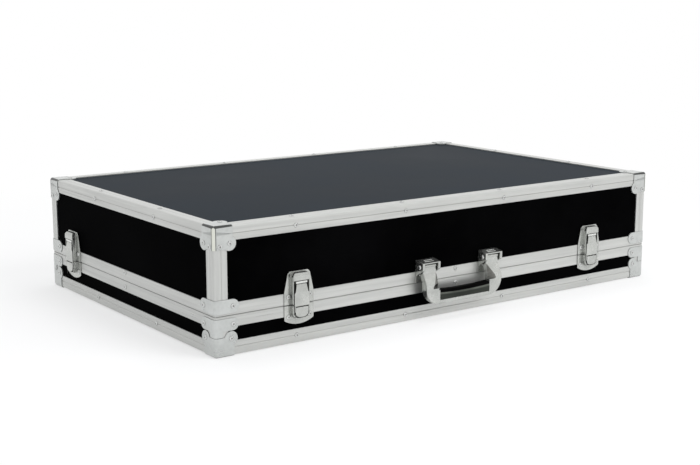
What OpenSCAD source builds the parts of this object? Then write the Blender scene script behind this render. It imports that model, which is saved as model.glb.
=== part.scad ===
// Flight-case style guitar pedal case: a shallow base tray under a deep lift-off lid.
// The origin is on the ground, at the middle of the footprint with the handle and latches included.

/* [Case] */
// Width of the case over the aluminium
case_w = 748; // [620:1:1000]
// Depth of the case over the aluminium
case_d = 474; // [420:1:600]
// Height of the case over the aluminium
case_h = 159; // [150:1:240]
// Height of the base half over the aluminium
base_h = 49.5; // [46:0.5:70]
// Thickness of the laminated plywood
ply_t = 7; // [6:0.5:9]

/* [Edging] */
// Width of each leg of the corner angle
edge_leg = 18; // [16:0.5:20]
// Thickness of the corner angle
edge_t = 1.5; // [1.2:0.1:2]
// Outer radius of the corner angle
edge_r = 3; // [1.6:0.1:3]
// Distance of the rivet line from the outer edge
groove_at = 10; // [8:0.5:12]
// Width of the rivet line's groove
groove_w = 1.2; // [0.8:0.1:1.6]
// Depth of the rivet line's groove
groove_depth = 0.5; // [0.3:0.1:0.7]

/* [Closing rims] */
// Height of the base rim's outer leg
base_rim_leg = 14; // [13:0.5:16]
// Height of the lid rim's outer leg
lid_rim_leg = 15.2; // [14:0.2:17]
// Height of each rim's inner leg
inner_leg = 9; // [7:0.5:11]
// Height of the tongue on the base rim
tongue_h = 6; // [4:0.5:8]
// Gap between the tongue and each side of the lid's groove
tongue_gap = 0.8; // [0.4:0.1:1.2]
// Gap between the tongue and the bottom of the lid's groove
tongue_top_gap = 1; // [0.5:0.1:2]
// Gap left between the two rims when the lid is on
seat_gap = 0.3; // [0.2:0.05:0.5]
// Chamfer on the outer edges that meet at the split
split_chamfer = 0.7; // [0.4:0.1:1]

/* [Corner hardware] */
// Thickness of the pressed caps and braces
cap_t = 1; // [0.8:0.1:1.4]
// Width of a cap's leaf
cap_leaf = 26; // [24:0.5:28]
// Height of a top cap's leaf along the vertical edge
top_cap_h = 28.5; // [26:0.5:30]
// Height of a bottom cap's leaf along the vertical edge
bottom_cap_h = 23.5; // [22:0.5:24]
// Distance of a cap's lobes from both edges
lobe_at = 21.5; // [20:0.5:22]
// Radius of a cap's lobes
lobe_r = 9; // [8:0.5:9.5]
// Distance of a brace's end rivets from the vertical edge
brace_at = 24.5; // [22:0.5:28]
// Height of an upper brace
upper_brace_h = 17.2; // [15:0.2:19]
// Height of a lower brace
lower_brace_h = 15.4; // [14:0.2:16]
// Gap between the split and each brace
brace_gap = 3; // [2:0.5:4]

/* [Rivets] */
// Pitch of the rivets along the edging
rivet_pitch = 172; // [120:1:190]
// Radius of a rivet's head
rivet_head_r = 3.1; // [2.5:0.1:3.5]
// Height of a rivet's head
rivet_head_h = 1.3; // [0.9:0.1:1.6]
// Radius of a rivet's shank
rivet_r = 1.6; // [1.2:0.1:2]
// Clearance round a rivet's shank
rivet_clear = 0.1; // [0.05:0.05:0.2]

/* [Handle] */
// Width over the handle's two arms
handle_w = 132; // [120:1:160]
// Distance from the handle's pivot to the bottom of its grip
handle_drop = 51; // [48:0.5:54]
// Width of each arm
arm_w = 22; // [18:0.5:24]
// Depth of the handle's front from the wall
handle_reach = 20.5; // [20:0.5:30]
// Radius of the handle's lower corners
handle_corner_r = 20; // [12:1:22]
// Height of the handle's bar
bar_h = 19.5; // [16:0.5:22]
// Depth of the handle's bar
bar_d = 11.5; // [9:0.5:13]
// Length of the black grip
grip_w = 87; // [70:1:90]
// Height of the black grip
grip_h = 14; // [10:0.5:15]
// Height of the handle's pivot above the split
handle_pivot_up = 23; // [21:0.5:26]
// Width of a handle bracket's housing
housing_w = 30; // [26:0.5:32]
// Depth of a handle bracket's housing
housing_d = 16; // [15:0.5:18]

/* [Latches] */
// Distance of each front latch from the nearer end of the case
front_latch_in = 119; // [109:1:190]
// Distance of each end latch from the rear of the case
end_latch_in = 75; // [64:1:120]
// Width of a latch's plates
latch_w = 43.4; // [41:0.2:46]
// Width of the catch plate at its top
catch_top_w = 33; // [31:0.5:36]
// Height of the catch plate above the split
catch_h = 42.5; // [42:0.5:48]
// Height of the latch plate below the split
latch_h = 25; // [24.5:0.5:28]
// Thickness of the latch's steel
latch_t = 1.2; // [1:0.1:1.4]
// Thickness of the lever and the hook
lever_t = 1; // [0.8:0.1:1.2]
// Half width of the lever
lever_half = 9.4; // [8.8:0.1:9.8]
// Distance of the lever's front from the wall
lever_out = 8.3; // [8.3:0.1:9]
// Distance of the lever's pivot from the wall
lever_pivot_out = 4.8; // [4.8:0.1:5.2]
// Distance of the lever's pivot below the split
lever_pivot_down = 2.7; // [2.6:0.1:3]
// Distance from the lever's pivot to the hook's pin
toggle_arm = 6; // [5.5:0.1:6.2]
// Radius of the latch's pins
latch_pin_r = 1; // [0.8:0.1:1.1]
// Clearance beside the moving latch parts
latch_clear = 0.4; // [0.3:0.05:0.5]
// Clearance round a pin in the piece that turns on it
pin_clear = 0.05; // [0.03:0.01:0.08]

/* [Lining] */
// Thickness of the loop mat on the floor
mat_t = 3; // [2:0.5:5]
// Thickness of the foam on the walls
wall_foam_t = 5; // [3:0.5:8]
// Thickness of the foam pad under the lid's top
lid_foam_t = 12; // [6:0.5:25]

/* [Hidden] */
$fn = 48;

// Levels. The caps' undersides touch the ground.
ground_gap = cap_t;
top_z = ground_gap + case_h;
split_z = ground_gap + base_h;
floor_z = ground_gap + edge_t + ply_t;
ceiling_z = top_z - edge_t - ply_t;
base_wall_top = split_z - edge_t;
lid_wall_bottom = split_z + tongue_h + tongue_top_gap + edge_t;
lid_z = split_z + seat_gap;
skin_in = edge_t + ply_t;
rim_in = skin_in + edge_t;
shank_depth = edge_t + ply_t - 2;
fine = 0.01;

// Sides are counted from the front, anticlockwise from above.
FRONT = 0;
RIGHT = 1;
REAR = 2;
LEFT = 3;
// The footprint runs from the handle's front to the rivets on the rear caps.
grip_proud = 0.4;
case_y = (handle_reach + grip_proud - cap_t - rivet_head_h) / 2;

function wall_len(side) = side % 2 == 0 ? case_w : case_d;
function wall_out(side) = side % 2 == 0 ? case_d / 2 : case_w / 2;
function spread(count, pitch) = [for (i = [0:count - 1]) (i - (count - 1) / 2) * pitch];
function edge_rivets(side) = spread(max(2, floor(wall_len(side) / rivet_pitch)), rivet_pitch);

// Rivet places on a wall: distance from its middle, height, and how far the surface under the head stands out.
rim_rivet_up = 11.5;
rim_rivet_down = 8;
function at_height(places, z, out) = [for (u = places) [u, z, out]];
function both_ends(side, from_edge) = [for (s = [-1, 1]) s * (wall_len(side) / 2 - from_edge)];
function base_wall_rivets(side) = concat(
    at_height(edge_rivets(side), ground_gap + groove_at, 0),
    at_height([0], split_z - rim_rivet_down, 0),
    at_height(both_ends(side, lobe_at), ground_gap + lobe_at, cap_t),
    at_height(both_ends(side, brace_at), lower_brace_z + lower_brace_h / 2, cap_t),
    [for (u = latch_places(side), s = [-1, 1]) [u + s * latch_rivet_at, split_z - latch_rivet_down, latch_t]]
);
function lid_wall_rivets(side) = concat(
    at_height(edge_rivets(side), top_z - groove_at, 0),
    at_height([0], split_z + rim_rivet_up, 0),
    at_height(both_ends(side, lobe_at), top_z - lobe_at, cap_t),
    second_rivets(side),
    at_height(both_ends(side, brace_at), split_z + brace_gap + upper_brace_h / 2, cap_t),
    [for (u = latch_places(side), s = [-1, 1]) [u + s * latch_rivet_at, split_z + catch_rivet_up, latch_t]]
);
function second_rivets(side) = at_height(both_ends(side, second_rivet_at), top_z - second_rivet_down, cap_t);
second_rivet_at = 8;
second_rivet_down = top_cap_h - 4;
lower_brace_z = split_z - brace_gap - lower_brace_h;

// Latch geometry, measured out from the wall and up from the ground. The hook's arms straddle the lever.
arm_in = lever_half + latch_clear;
arm_out = arm_in + lever_t;
rim_half = arm_out + latch_clear;
rim_half_out = rim_half + latch_t;
latch_rivet_at = rim_half_out + rivet_head_r + 0.3;
latch_rivet_down = 14.5;
catch_rivet_up = 11;
lever_pivot_z = split_z - lever_pivot_down;
over_centre = 0.5;
hook_pin_out = lever_pivot_out - over_centre;
hook_pin_z = lever_pivot_z - toggle_arm;
rim_up = lever_pivot_out + latch_pin_r + 1.2;
lever_low = hook_pin_z - 6.3;
eye_r = 1.9;
strap_z = hook_pin_z + 7.8;
strap_bend_z = split_z + 17.5;
knuckle_r = 1.5;
knuckle_z = split_z + 29;
knuckle_out = lever_out - 1.9;
hood_z = knuckle_z + knuckle_r + latch_clear + 0.3;
hood_top = split_z + catch_h - 1;
hood_out = 8;
lip_out = knuckle_out - knuckle_r - latch_clear;
front_latch_at = case_w / 2 - front_latch_in;
end_latch_at = case_d / 2 - end_latch_in;
function latch_places(side) =
    side == FRONT ? [-front_latch_at, front_latch_at] :
    side == RIGHT ? [end_latch_at] :
    side == LEFT ? [-end_latch_at] : [];

// Handle geometry.
handle_pin_r = 2;
handle_pivot_out = 8.5;
handle_pivot_z = split_z + handle_pivot_up;
handle_low = handle_pivot_z - handle_drop;
arm_middle = handle_w / 2 - arm_w / 2;
housing_top = handle_pivot_z + 8.5;
housing_t = 2;
bar_back = handle_reach - bar_d;
bracket_rivet_at = arm_w / 2 - rivet_head_r - 0.9;
bracket_rivet_up = 12;
function handle_rivets() =
    [for (s = [-1, 1], t = [-1, 1]) [s * arm_middle + t * bracket_rivet_at, split_z + bracket_rivet_up, latch_t]];

// Puts a piece drawn on the front wall's plane, with its outside towards -Y, on any wall.
module on_wall(side) {
    translate([0, case_y, 0]) rotate([0, 0, 90 * side]) translate([0, -wall_out(side), 0]) children();
}

module at_latch(side, place) {
    on_wall(side) translate([place, 0, 0]) children();
}

// A prism along X whose outline is drawn as [distance out from the wall, height].
module along_wall(length, middle = 0) {
    translate([middle - length / 2, 0, 0])
        rotate([90, 0, 90]) linear_extrude(length) mirror([1, 0]) children();
}

// A plate on the wall: an outline drawn as [along the wall, height], from one distance out to another.
module on_plane(from_out, to_out) {
    translate([0, -from_out, 0]) rotate([90, 0, 0]) linear_extrude(to_out - from_out) children();
}

// Rivets.
module rivet(out, head_h = rivet_head_h) {
    ball_r = (rivet_head_r * rivet_head_r + head_h * head_h) / (2 * head_h);
    rotate([90, 0, 0]) {
        translate([0, 0, out]) rotate_extrude() intersection() {
            translate([0, head_h - ball_r]) circle(ball_r, $fn = 64);
            square([rivet_head_r, head_h]);
        }
        translate([0, 0, -shank_depth]) cylinder(r = rivet_r, h = shank_depth + out + fine);
    }
}

module rivet_hole() {
    rotate([90, 0, 0]) translate([0, 0, -shank_depth - rivet_clear])
        cylinder(r = rivet_r + rivet_clear, h = shank_depth + rivet_clear + 4);
}

module rivets(places) {
    for (p = places) translate([p[0], 0, p[1]]) rivet(p[2]);
}

module rivet_holes(places) {
    for (p = places) translate([p[0], 0, p[1]]) rivet_hole();
}

// The top face's rivets, by distance along each wall: the edging's and the caps'.
module on_top(side) {
    translate([0, case_y, top_z]) rotate([0, 0, 90 * side]) translate([0, -wall_out(side), 0])
        rotate([-90, 0, 0]) children();
}

module on_underside(side) {
    translate([0, case_y, ground_gap]) mirror([0, 0, 1]) rotate([0, 0, 90 * side])
        translate([0, -wall_out(side), 0]) rotate([-90, 0, 0]) children();
}

function face_rivets(side) = [for (u = edge_rivets(side)) [u, groove_at, 0]];
function cap_face_rivets() = [for (s = [-1, 1]) [s * (case_w / 2 - lobe_at), lobe_at, cap_t]];

// Panels.
module floor_sheet(z) {
    translate([-case_w / 2 + edge_t, case_y - case_d / 2 + edge_t, z])
        cube([case_w - 2 * edge_t, case_d - 2 * edge_t, ply_t]);
}

module wall_sheet(side, from_z, to_z) {
    length = wall_len(side) - 2 * (side % 2 == 0 ? edge_t : edge_t + ply_t);
    on_wall(side) translate([-length / 2, edge_t, from_z]) cube([length, ply_t, to_z - from_z]);
}

module base_wall(side) {
    color([0.03, 0.03, 0.03]) difference() {
        wall_sheet(side, floor_z, base_wall_top);
        on_wall(side) rivet_holes(base_wall_rivets(side));
    }
}

module lid_wall(side) {
    color([0.03, 0.03, 0.03]) difference() {
        wall_sheet(side, lid_wall_bottom, ceiling_z);
        on_wall(side) rivet_holes(lid_wall_rivets(side));
        for (near = [1, 3]) on_wall((side + near) % 4) rivet_holes(second_rivets((side + near) % 4));
        if (side == FRONT) on_wall(side) rivet_holes(handle_rivets());
    }
}

module base_floor_panel() {
    color([0.03, 0.03, 0.03]) difference() {
        floor_sheet(ground_gap + edge_t);
        for (side = [FRONT:LEFT]) on_underside(side) rivet_holes(face_rivets(side));
        for (side = [FRONT, REAR]) on_underside(side) rivet_holes(cap_face_rivets());
        for (side = [FRONT:LEFT])
            on_wall(side) rivet_holes(at_height(edge_rivets(side), ground_gap + groove_at, 0));
    }
}

module lid_top_panel() {
    color([0.16, 0.18, 0.21]) difference() {
        floor_sheet(ceiling_z);
        for (side = [FRONT:LEFT]) on_top(side) rivet_holes(face_rivets(side));
        for (side = [FRONT, REAR]) on_top(side) rivet_holes(cap_face_rivets());
        for (side = [FRONT:LEFT])
            on_wall(side) rivet_holes(at_height(edge_rivets(side), top_z - groove_at, 0));
    }
}

// Edging. The angle's outline has its outer corner at the origin and its legs along +X and +Y.
module angle_outline() {
    difference() {
        union() {
            translate([edge_r, 0]) square([edge_leg - edge_r, edge_t]);
            translate([0, edge_r]) square([edge_t, edge_leg - edge_r]);
            intersection() {
                translate([edge_r, edge_r]) circle(edge_r);
                square(edge_r);
            }
        }
        translate([edge_t, edge_t]) square(edge_leg);
        for (flip = [0, 1]) mirror([flip, -flip]) polygon([
            [groove_at - groove_w / 2, -fine], [groove_at + groove_w / 2, -fine], [groove_at, groove_depth]
        ]);
    }
}

// Cuts both ends of a length along X to 45 degrees in plan, so that four lengths make a frame.
module mitred(length, reach) {
    difference() {
        children();
        for (s = [-1, 1]) translate([s * length / 2, 0, -1]) mirror([s > 0 ? 0 : 1, 0, 0])
            linear_extrude(case_h + 4) {
                polygon([[-reach, reach], [10, -10], [10, reach]]);
                difference() {
                    translate([-edge_r, -fine]) square(edge_r + 1);
                    translate([-edge_r, edge_r]) circle(edge_r);
                }
            }
    }
}

module top_angle(side) {
    length = wall_len(side);
    on_wall(side) mitred(length, edge_leg + 1) translate([0, 0, top_z])
        along_wall(length) mirror([1, 0]) mirror([0, 1]) angle_outline();
}

module bottom_angle(side) {
    length = wall_len(side);
    on_wall(side) mitred(length, edge_leg + 1) translate([0, 0, ground_gap])
        along_wall(length) mirror([1, 0]) angle_outline();
}

module lid_edging(sides) {
    color("silver") difference() {
        for (side = sides) top_angle(side);
        for (side = sides) {
            on_wall(side) rivet_holes(at_height(edge_rivets(side), top_z - groove_at, 0));
            on_top(side) rivet_holes(face_rivets(side));
        }
    }
}

module base_edging(sides) {
    color("silver") difference() {
        for (side = sides) bottom_angle(side);
        for (side = sides) {
            on_wall(side) rivet_holes(at_height(edge_rivets(side), ground_gap + groove_at, 0));
            on_underside(side) rivet_holes(face_rivets(side));
        }
    }
}

module corner_angles(from_z, to_z) {
    at_edges() translate([0, 0, from_z]) linear_extrude(to_z - from_z) angle_outline();
}

module base_corner_angles() {
    color("silver") difference() {
        corner_angles(ground_gap + edge_leg, split_z - base_rim_leg);
        for (side = [FRONT:LEFT]) on_wall(side) rivet_holes(base_wall_rivets(side));
    }
}

module lid_corner_angles() {
    color("silver") difference() {
        corner_angles(split_z + lid_rim_leg, top_z - edge_leg);
        for (side = [FRONT:LEFT]) on_wall(side) rivet_holes(lid_wall_rivets(side));
    }
}

// Closing rims. Their outlines are drawn as [depth in from the wall, height from the split].
module base_rim_outline() {
    tongue_w = ply_t - 2 * tongue_gap;
    tongue_x = edge_t + tongue_gap;
    difference() {
        union() {
            translate([0, -base_rim_leg]) square([edge_t, base_rim_leg]);
            translate([0, -edge_t]) square([rim_in, edge_t]);
            translate([skin_in, -inner_leg]) square([edge_t, inner_leg]);
            translate([tongue_x, -fine]) square([tongue_w, tongue_h - tongue_w / 2 + fine]);
            intersection() {
                translate([tongue_x + tongue_w / 2, tongue_h - tongue_w / 2]) circle(tongue_w / 2);
                translate([tongue_x, tongue_h - tongue_w / 2]) square(tongue_w);
            }
        }
        polygon([[-fine, -split_chamfer], [-fine, fine], [split_chamfer, fine]]);
    }
}

module lid_rim_outline() {
    difference() {
        union() {
            translate([0, seat_gap]) square([edge_t, lid_rim_leg - seat_gap]);
            translate([0, lid_wall_bottom - edge_t - split_z]) square([rim_in, edge_t]);
            translate([skin_in, seat_gap])
                square([edge_t, lid_wall_bottom - split_z + inner_leg - edge_t - seat_gap]);
        }
        translate([0, seat_gap])
            polygon([[-fine, split_chamfer], [-fine, -fine], [split_chamfer, -fine]]);
    }
}

module rim(side) {
    length = wall_len(side);
    on_wall(side) mitred(length, rim_in + 1) translate([0, 0, split_z])
        along_wall(length) mirror([1, 0]) children();
}

module base_rim(sides) {
    color("silver") difference() {
        for (side = sides) rim(side) base_rim_outline();
        for (side = sides) on_wall(side) rivet_holes(base_wall_rivets(side));
    }
}

module lid_rim(sides) {
    color("silver") difference() {
        for (side = sides) rim(side) lid_rim_outline();
        for (side = sides) on_wall(side) rivet_holes(lid_wall_rivets(side));
        if (sides[0] == FRONT) on_wall(FRONT) rivet_holes(handle_rivets());
    }
}

// Corner caps. The case's corner is at the origin, and the case fills +X, +Y and +Z.
module rounded_corner(out, r) {
    size = 60;
    translate([-out, -out, -out]) union() {
        translate([r, r, r]) sphere(r);
        for (turn = [[0, 0, 0], [90, 0, 90], [0, -90, -90]]) rotate(turn) {
            translate([r, r, r]) cylinder(r = r, h = size - r);
            translate([r, r, 0]) cube([size - r, size - r, size]);
        }
    }
}

module leaf_outline(height) {
    union() {
        translate([-cap_t, -cap_t]) square([cap_leaf + cap_t, lobe_at + cap_t]);
        translate([-cap_t, -cap_t]) square([lobe_at + cap_t, min(height, cap_leaf) + cap_t]);
        translate([-cap_t, -cap_t]) square([lobe_at - lobe_r / 2 + cap_t, height + cap_t]);
        translate([lobe_at, lobe_at]) circle(lobe_r);
    }
}

module cap(height) {
    leaf_depth = edge_r + 1;
    difference() {
        union() {
            intersection() {
                difference() {
                    rounded_corner(cap_t, edge_r + cap_t);
                    rounded_corner(0, edge_r);
                }
                union() {
                    translate([0, 0, -cap_t]) linear_extrude(leaf_depth) leaf_outline(cap_leaf);
                    translate([0, leaf_depth - cap_t, 0]) rotate([90, 0, 0]) linear_extrude(leaf_depth)
                        leaf_outline(height);
                    translate([-cap_t, 0, 0]) rotate([90, 0, 90]) linear_extrude(leaf_depth) leaf_outline(height);
                }
            }
            lobe_pads();
        }
        for (turn = [[0, 0, 0], [90, 0, 90], [0, -90, -90]]) rotate(turn)
            translate([lobe_at, lobe_at, -cap_t - 1]) cylinder(r = rivet_r + rivet_clear, h = edge_t + cap_t + 2);
    }
}

// The lobes stand past the edging, so each is joggled down to the plywood.
module lobe_pads() {
    for (turn = [[0, 0, 0], [90, 0, 90], [0, -90, -90]]) rotate(turn) translate([0, 0, -fine])
        linear_extrude(edge_t + fine) intersection() {
            translate([lobe_at, lobe_at]) circle(lobe_r);
            translate([edge_leg, edge_leg]) square(edge_leg);
        }
}

// Repeats a piece drawn at a corner of the base at all four, or at the lid's corners with top set.
module at_corners(top = false) {
    at_edges() translate([0, 0, top ? top_z : ground_gap]) mirror([0, 0, top ? 1 : 0]) children();
}

module base_corner_caps() {
    color("gainsboro") difference() {
        at_corners() cap(bottom_cap_h);
        at_edges() translate([-5, -5, lower_brace_z - latch_clear]) cube([60, 60, 60]);
    }
}

module lid_corner_caps() {
    color("gainsboro") difference() {
        at_corners(true) cap(top_cap_h);
        for (side = [FRONT:LEFT])
            on_wall(side) rivet_holes(second_rivets(side));
    }
}

// Corner braces, drawn at a vertical edge with the case filling +X and +Y.
module brace_outline(from_z, height, tongue) {
    end_r = height / 2;
    translate([-cap_t, from_z]) square([brace_at + cap_t, height]);
    translate([brace_at, from_z + end_r]) circle(end_r);
    if (tongue > 0) translate([-cap_t, from_z - tongue])
        square([lobe_at - lobe_r - 2 + cap_t, tongue + fine]);
}

module brace(from_z, height, tongue, pad_z) {
    pad_h = edge_leg * 2;
    leaf_depth = edge_r + 1;
    difference() {
        union() {
            intersection() {
                difference() {
                    corner_column(cap_t, edge_r + cap_t);
                    corner_column(0, edge_r);
                }
                union() {
                    translate([0, leaf_depth - cap_t, 0]) rotate([90, 0, 0]) linear_extrude(leaf_depth)
                        brace_outline(from_z, height, tongue);
                    translate([-cap_t, 0, 0]) rotate([90, 0, 90]) linear_extrude(leaf_depth)
                        brace_outline(from_z, height, tongue);
                }
            }
            for (turn = [[90, 0, 0], [90, 0, 90]]) rotate(turn) translate([0, 0, turn[2] > 0 ? -fine : -edge_t])
                linear_extrude(edge_t + fine) intersection() {
                    brace_outline(from_z, height, 0);
                    translate([edge_leg, pad_z]) square(pad_h);
                }
        }
        for (turn = [[90, 0, 0], [90, 0, 90]]) rotate(turn) translate([brace_at, from_z + height / 2, -10])
            cylinder(r = rivet_r + rivet_clear, h = 20);
    }
}

module corner_column(out, r) {
    size = 60;
    translate([-out, -out, 0]) union() {
        translate([r, r, 0]) cylinder(r = r, h = case_h);
        translate([r, 0, 0]) cube([size, size, case_h]);
        translate([0, r, 0]) cube([size, size, case_h]);
    }
}

// Repeats a piece drawn at a vertical edge, with the case filling +X and +Y, at all four.
module at_edges() {
    translate([0, case_y, 0]) for (sx = [0, 1], sy = [0, 1]) mirror([sx, 0, 0]) mirror([0, sy, 0])
        translate([-case_w / 2, -case_d / 2, 0]) children();
}

module lid_corner_braces() {
    color("gainsboro") at_edges()
        brace(split_z + brace_gap, upper_brace_h, 0, split_z + lid_rim_leg);
}

module base_corner_braces() {
    tongue = lower_brace_z - ground_gap - bottom_cap_h - latch_clear;
    color("gainsboro") at_edges()
        brace(lower_brace_z, lower_brace_h, tongue, split_z - base_rim_leg - edge_leg * 2);
}

// Rivet groups.
module base_rivets() {
    color("whitesmoke") {
        for (side = [FRONT:LEFT]) on_wall(side) rivets(base_wall_rivets(side));
        for (side = [FRONT:LEFT]) on_underside(side)
            for (p = face_rivets(side)) translate([p[0], 0, p[1]]) rivet(0, cap_t - 0.2);
        for (side = [FRONT, REAR]) on_underside(side)
            for (p = cap_face_rivets()) translate([p[0], 0, p[1]]) rotate([90, 0, 0])
                translate([0, 0, -shank_depth]) cylinder(r = rivet_r, h = shank_depth + cap_t - 0.2);
    }
}

module lid_rivets() {
    color("whitesmoke") {
        for (side = [FRONT:LEFT]) on_wall(side) rivets(lid_wall_rivets(side));
        on_wall(FRONT) rivets(handle_rivets());
        for (side = [FRONT:LEFT]) on_top(side) rivets(face_rivets(side));
        for (side = [FRONT, REAR]) on_top(side) rivets(cap_face_rivets());
    }
}

// Lining.
module floor_mat() {
    inset = skin_in + 0.5;
    color([0.1, 0.1, 0.11]) translate([-case_w / 2 + inset, case_y - case_d / 2 + inset, floor_z])
        cube([case_w - 2 * inset, case_d - 2 * inset, mat_t]);
}

module wall_foam(from_z, to_z) {
    for (side = [FRONT:LEFT]) {
        length = wall_len(side) - 2 * (side % 2 == 0 ? skin_in : skin_in + wall_foam_t + 0.2);
        on_wall(side) translate([-length / 2, skin_in, from_z]) cube([length, wall_foam_t, to_z - from_z]);
    }
}

module base_wall_foam() {
    color([0.18, 0.18, 0.19]) wall_foam(floor_z + mat_t, split_z - inner_leg);
}

module lid_wall_foam() {
    color([0.18, 0.18, 0.19]) wall_foam(lid_wall_bottom + inner_leg - edge_t, ceiling_z - lid_foam_t);
}

module lid_foam_pad() {
    color([0.18, 0.18, 0.19]) translate([-case_w / 2 + skin_in, case_y - case_d / 2 + skin_in, ceiling_z - lid_foam_t])
        cube([case_w - 2 * skin_in, case_d - 2 * skin_in, lid_foam_t]);
}

// Handle. The bow is the crossing of its front outline and its side outline.
module bow_front_outline() {
    difference() {
        union() {
            translate([-handle_w / 2, handle_low + handle_corner_r])
                square([handle_w, handle_drop - handle_corner_r + 10]);
            translate([-handle_w / 2 + handle_corner_r, handle_low])
                square([handle_w - 2 * handle_corner_r, handle_corner_r + 1]);
            for (s = [-1, 1]) translate([s * (handle_w / 2 - handle_corner_r), handle_low + handle_corner_r])
                circle(handle_corner_r);
        }
        bow_opening();
    }
}

// The opening for the fingers, with its lower corners cut off.
module bow_opening() {
    half = handle_w / 2 - arm_w;
    low = handle_low + bar_h;
    polygon([
        [-half, handle_pivot_z + 12], [half, handle_pivot_z + 12], [half, low + 8],
        [half - 3, low], [-half + 3, low], [-half, low + 8]
    ]);
}

module bow_side_outline() {
    back = handle_pivot_out - 5;
    front = handle_pivot_out + 4;
    translate([handle_pivot_out, handle_pivot_z]) circle(5);
    polygon([
        [back, handle_pivot_z], [back, handle_pivot_z - 9], [bar_back, handle_pivot_z - 24],
        [bar_back, handle_low + 3], [bar_back + 3, handle_low], [handle_reach - 2, handle_low],
        [handle_reach, handle_low + 2], [handle_reach, handle_pivot_z - 22],
        [front, handle_pivot_z - 9], [front, handle_pivot_z]
    ]);
}

module handle_bow() {
    color("silver") difference() {
        intersection() {
            on_wall(FRONT) on_plane(0, handle_reach + 5) bow_front_outline();
            on_wall(FRONT) along_wall(handle_w + 2) bow_side_outline();
        }
        grip_seat();
        on_wall(FRONT) for (s = [-1, 1]) translate([s * arm_middle, -handle_pivot_out, handle_pivot_z])
            rotate([0, 90, 0]) cylinder(r = handle_pin_r + pin_clear, h = arm_w + 4, center = true);
    }
}

// The bar is cut away on its top and front, where the grip sits.
module grip_seat() {
    low = handle_low + bar_h - grip_h;
    on_wall(FRONT) along_wall(grip_w) translate([bar_back + 2.5, low]) square([bar_d, grip_h + 5]);
}

// The grip stands a little proud of the bar, with a hollow top and a chamfered front edge.
module grip_block(proud) {
    low = handle_low + bar_h - grip_h;
    high = low + grip_h + proud;
    sag = 2;
    hollow_r = (grip_w * grip_w / 4 + sag * sag) / (2 * sag);
    difference() {
        on_wall(FRONT) along_wall(grip_w) polygon([
            [bar_back + 2.5, low], [bar_back + 2.5, high], [handle_reach - 3, high],
            [handle_reach + proud, high - 3], [handle_reach + proud, low]
        ]);
        on_wall(FRONT) translate([0, 0, high - sag + hollow_r])
            rotate([90, 0, 0]) cylinder(r = hollow_r, h = 80, center = true, $fn = 360);
    }
}

module handle_grip() {
    color([0.05, 0.05, 0.05]) grip_block(grip_proud);
}

module handle_bracket(place) {
    cheek_t = (housing_w - arm_w) / 2 - 0.4;
    color("silver") on_wall(FRONT) translate([place, 0, 0]) difference() {
        union() {
            on_plane(0, latch_t) translate([-housing_w / 2, lid_z + 0.7])
                square([housing_w, housing_top - lid_z - 0.7]);
            along_wall(housing_w) polygon([
                [0, housing_top - housing_t], [0, housing_top], [4, housing_top],
                [housing_d, housing_top - 2.5], [housing_d, housing_top - 2.5 - housing_t + 0.6]
            ]);
            for (s = [-1, 1]) along_wall(cheek_t, s * (housing_w - cheek_t) / 2) polygon([
                [0, housing_top - 1], [4, housing_top - 1], [housing_d, housing_top - 3.5],
                [housing_d, handle_pivot_z - 3.5], [housing_d - 3.5, handle_pivot_z - 6], [0, handle_pivot_z - 14]
            ]);
        }
        translate([0, -housing_d / 2 - 1, housing_top - 1]) cube([15, 4.5, 12], center = true);
        translate([0, -handle_pivot_out, handle_pivot_z]) rotate([0, 90, 0])
            cylinder(r = handle_pin_r, h = housing_w + 4, center = true);
        for (t = [-1, 1]) translate([t * bracket_rivet_at, 0, split_z + bracket_rivet_up]) rivet_hole();
    }
}

module handle_bracket_left() {
    handle_bracket(-arm_middle);
}

module handle_bracket_right() {
    handle_bracket(arm_middle);
}

module handle_pins() {
    head_r = 3.4;
    color("whitesmoke") on_wall(FRONT) for (s = [-1, 1])
        translate([s * arm_middle, -handle_pivot_out, handle_pivot_z]) rotate([0, 90, 0]) {
            cylinder(r = handle_pin_r, h = housing_w + 0.1, center = true);
            for (e = [0, 1]) mirror([0, 0, e]) translate([0, 0, housing_w / 2])
                cylinder(r1 = head_r, r2 = head_r - 0.8, h = 1.4);
        }
}

// Latches, drawn on the wall's plane about their own middle.
module across(half_in, half_out) {
    for (s = [0, 1]) mirror([s, 0, 0]) translate([half_in, 0, 0])
        rotate([90, 0, 90]) linear_extrude(half_out - half_in) mirror([1, 0]) children();
}

module pin_across(r, half, out, z) {
    translate([0, -out, z]) rotate([0, 90, 0]) cylinder(r = r, h = 2 * half, center = true);
}

// A trough's outline with rounded lower corners, open at the top.
module trough_outline(half, low, r, high) {
    translate([-half, low + r]) square([2 * half, high - low - r]);
    translate([-half + r, low]) square([2 * (half - r), r + 0.5]);
    for (s = [-1, 1]) translate([s * (half - r), low + r]) circle(r);
}

module latch_plate() {
    drop = 6;
    arc_r = (latch_w * latch_w / 4 + drop * drop) / (2 * drop);
    low = split_z - latch_h;
    high = split_z - 0.3;
    rim_r = 7;
    rim_low = lever_low - 0.9;
    color("silver") difference() {
        union() {
            on_plane(0, latch_t) intersection() {
                translate([-latch_w / 2, low]) square([latch_w, high - low]);
                translate([0, low + arc_r]) circle(arc_r, $fn = 180);
            }
            on_plane(0, rim_up) difference() {
                trough_outline(rim_half_out, rim_low - latch_t, rim_r + latch_t, high);
                trough_outline(rim_half, rim_low, rim_r, high + 1);
            }
        }
        pin_across(latch_pin_r, rim_half_out + 1, lever_pivot_out, lever_pivot_z);
        for (s = [-1, 1]) translate([s * latch_rivet_at, 0, split_z - latch_rivet_down]) rivet_hole();
    }
}

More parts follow.
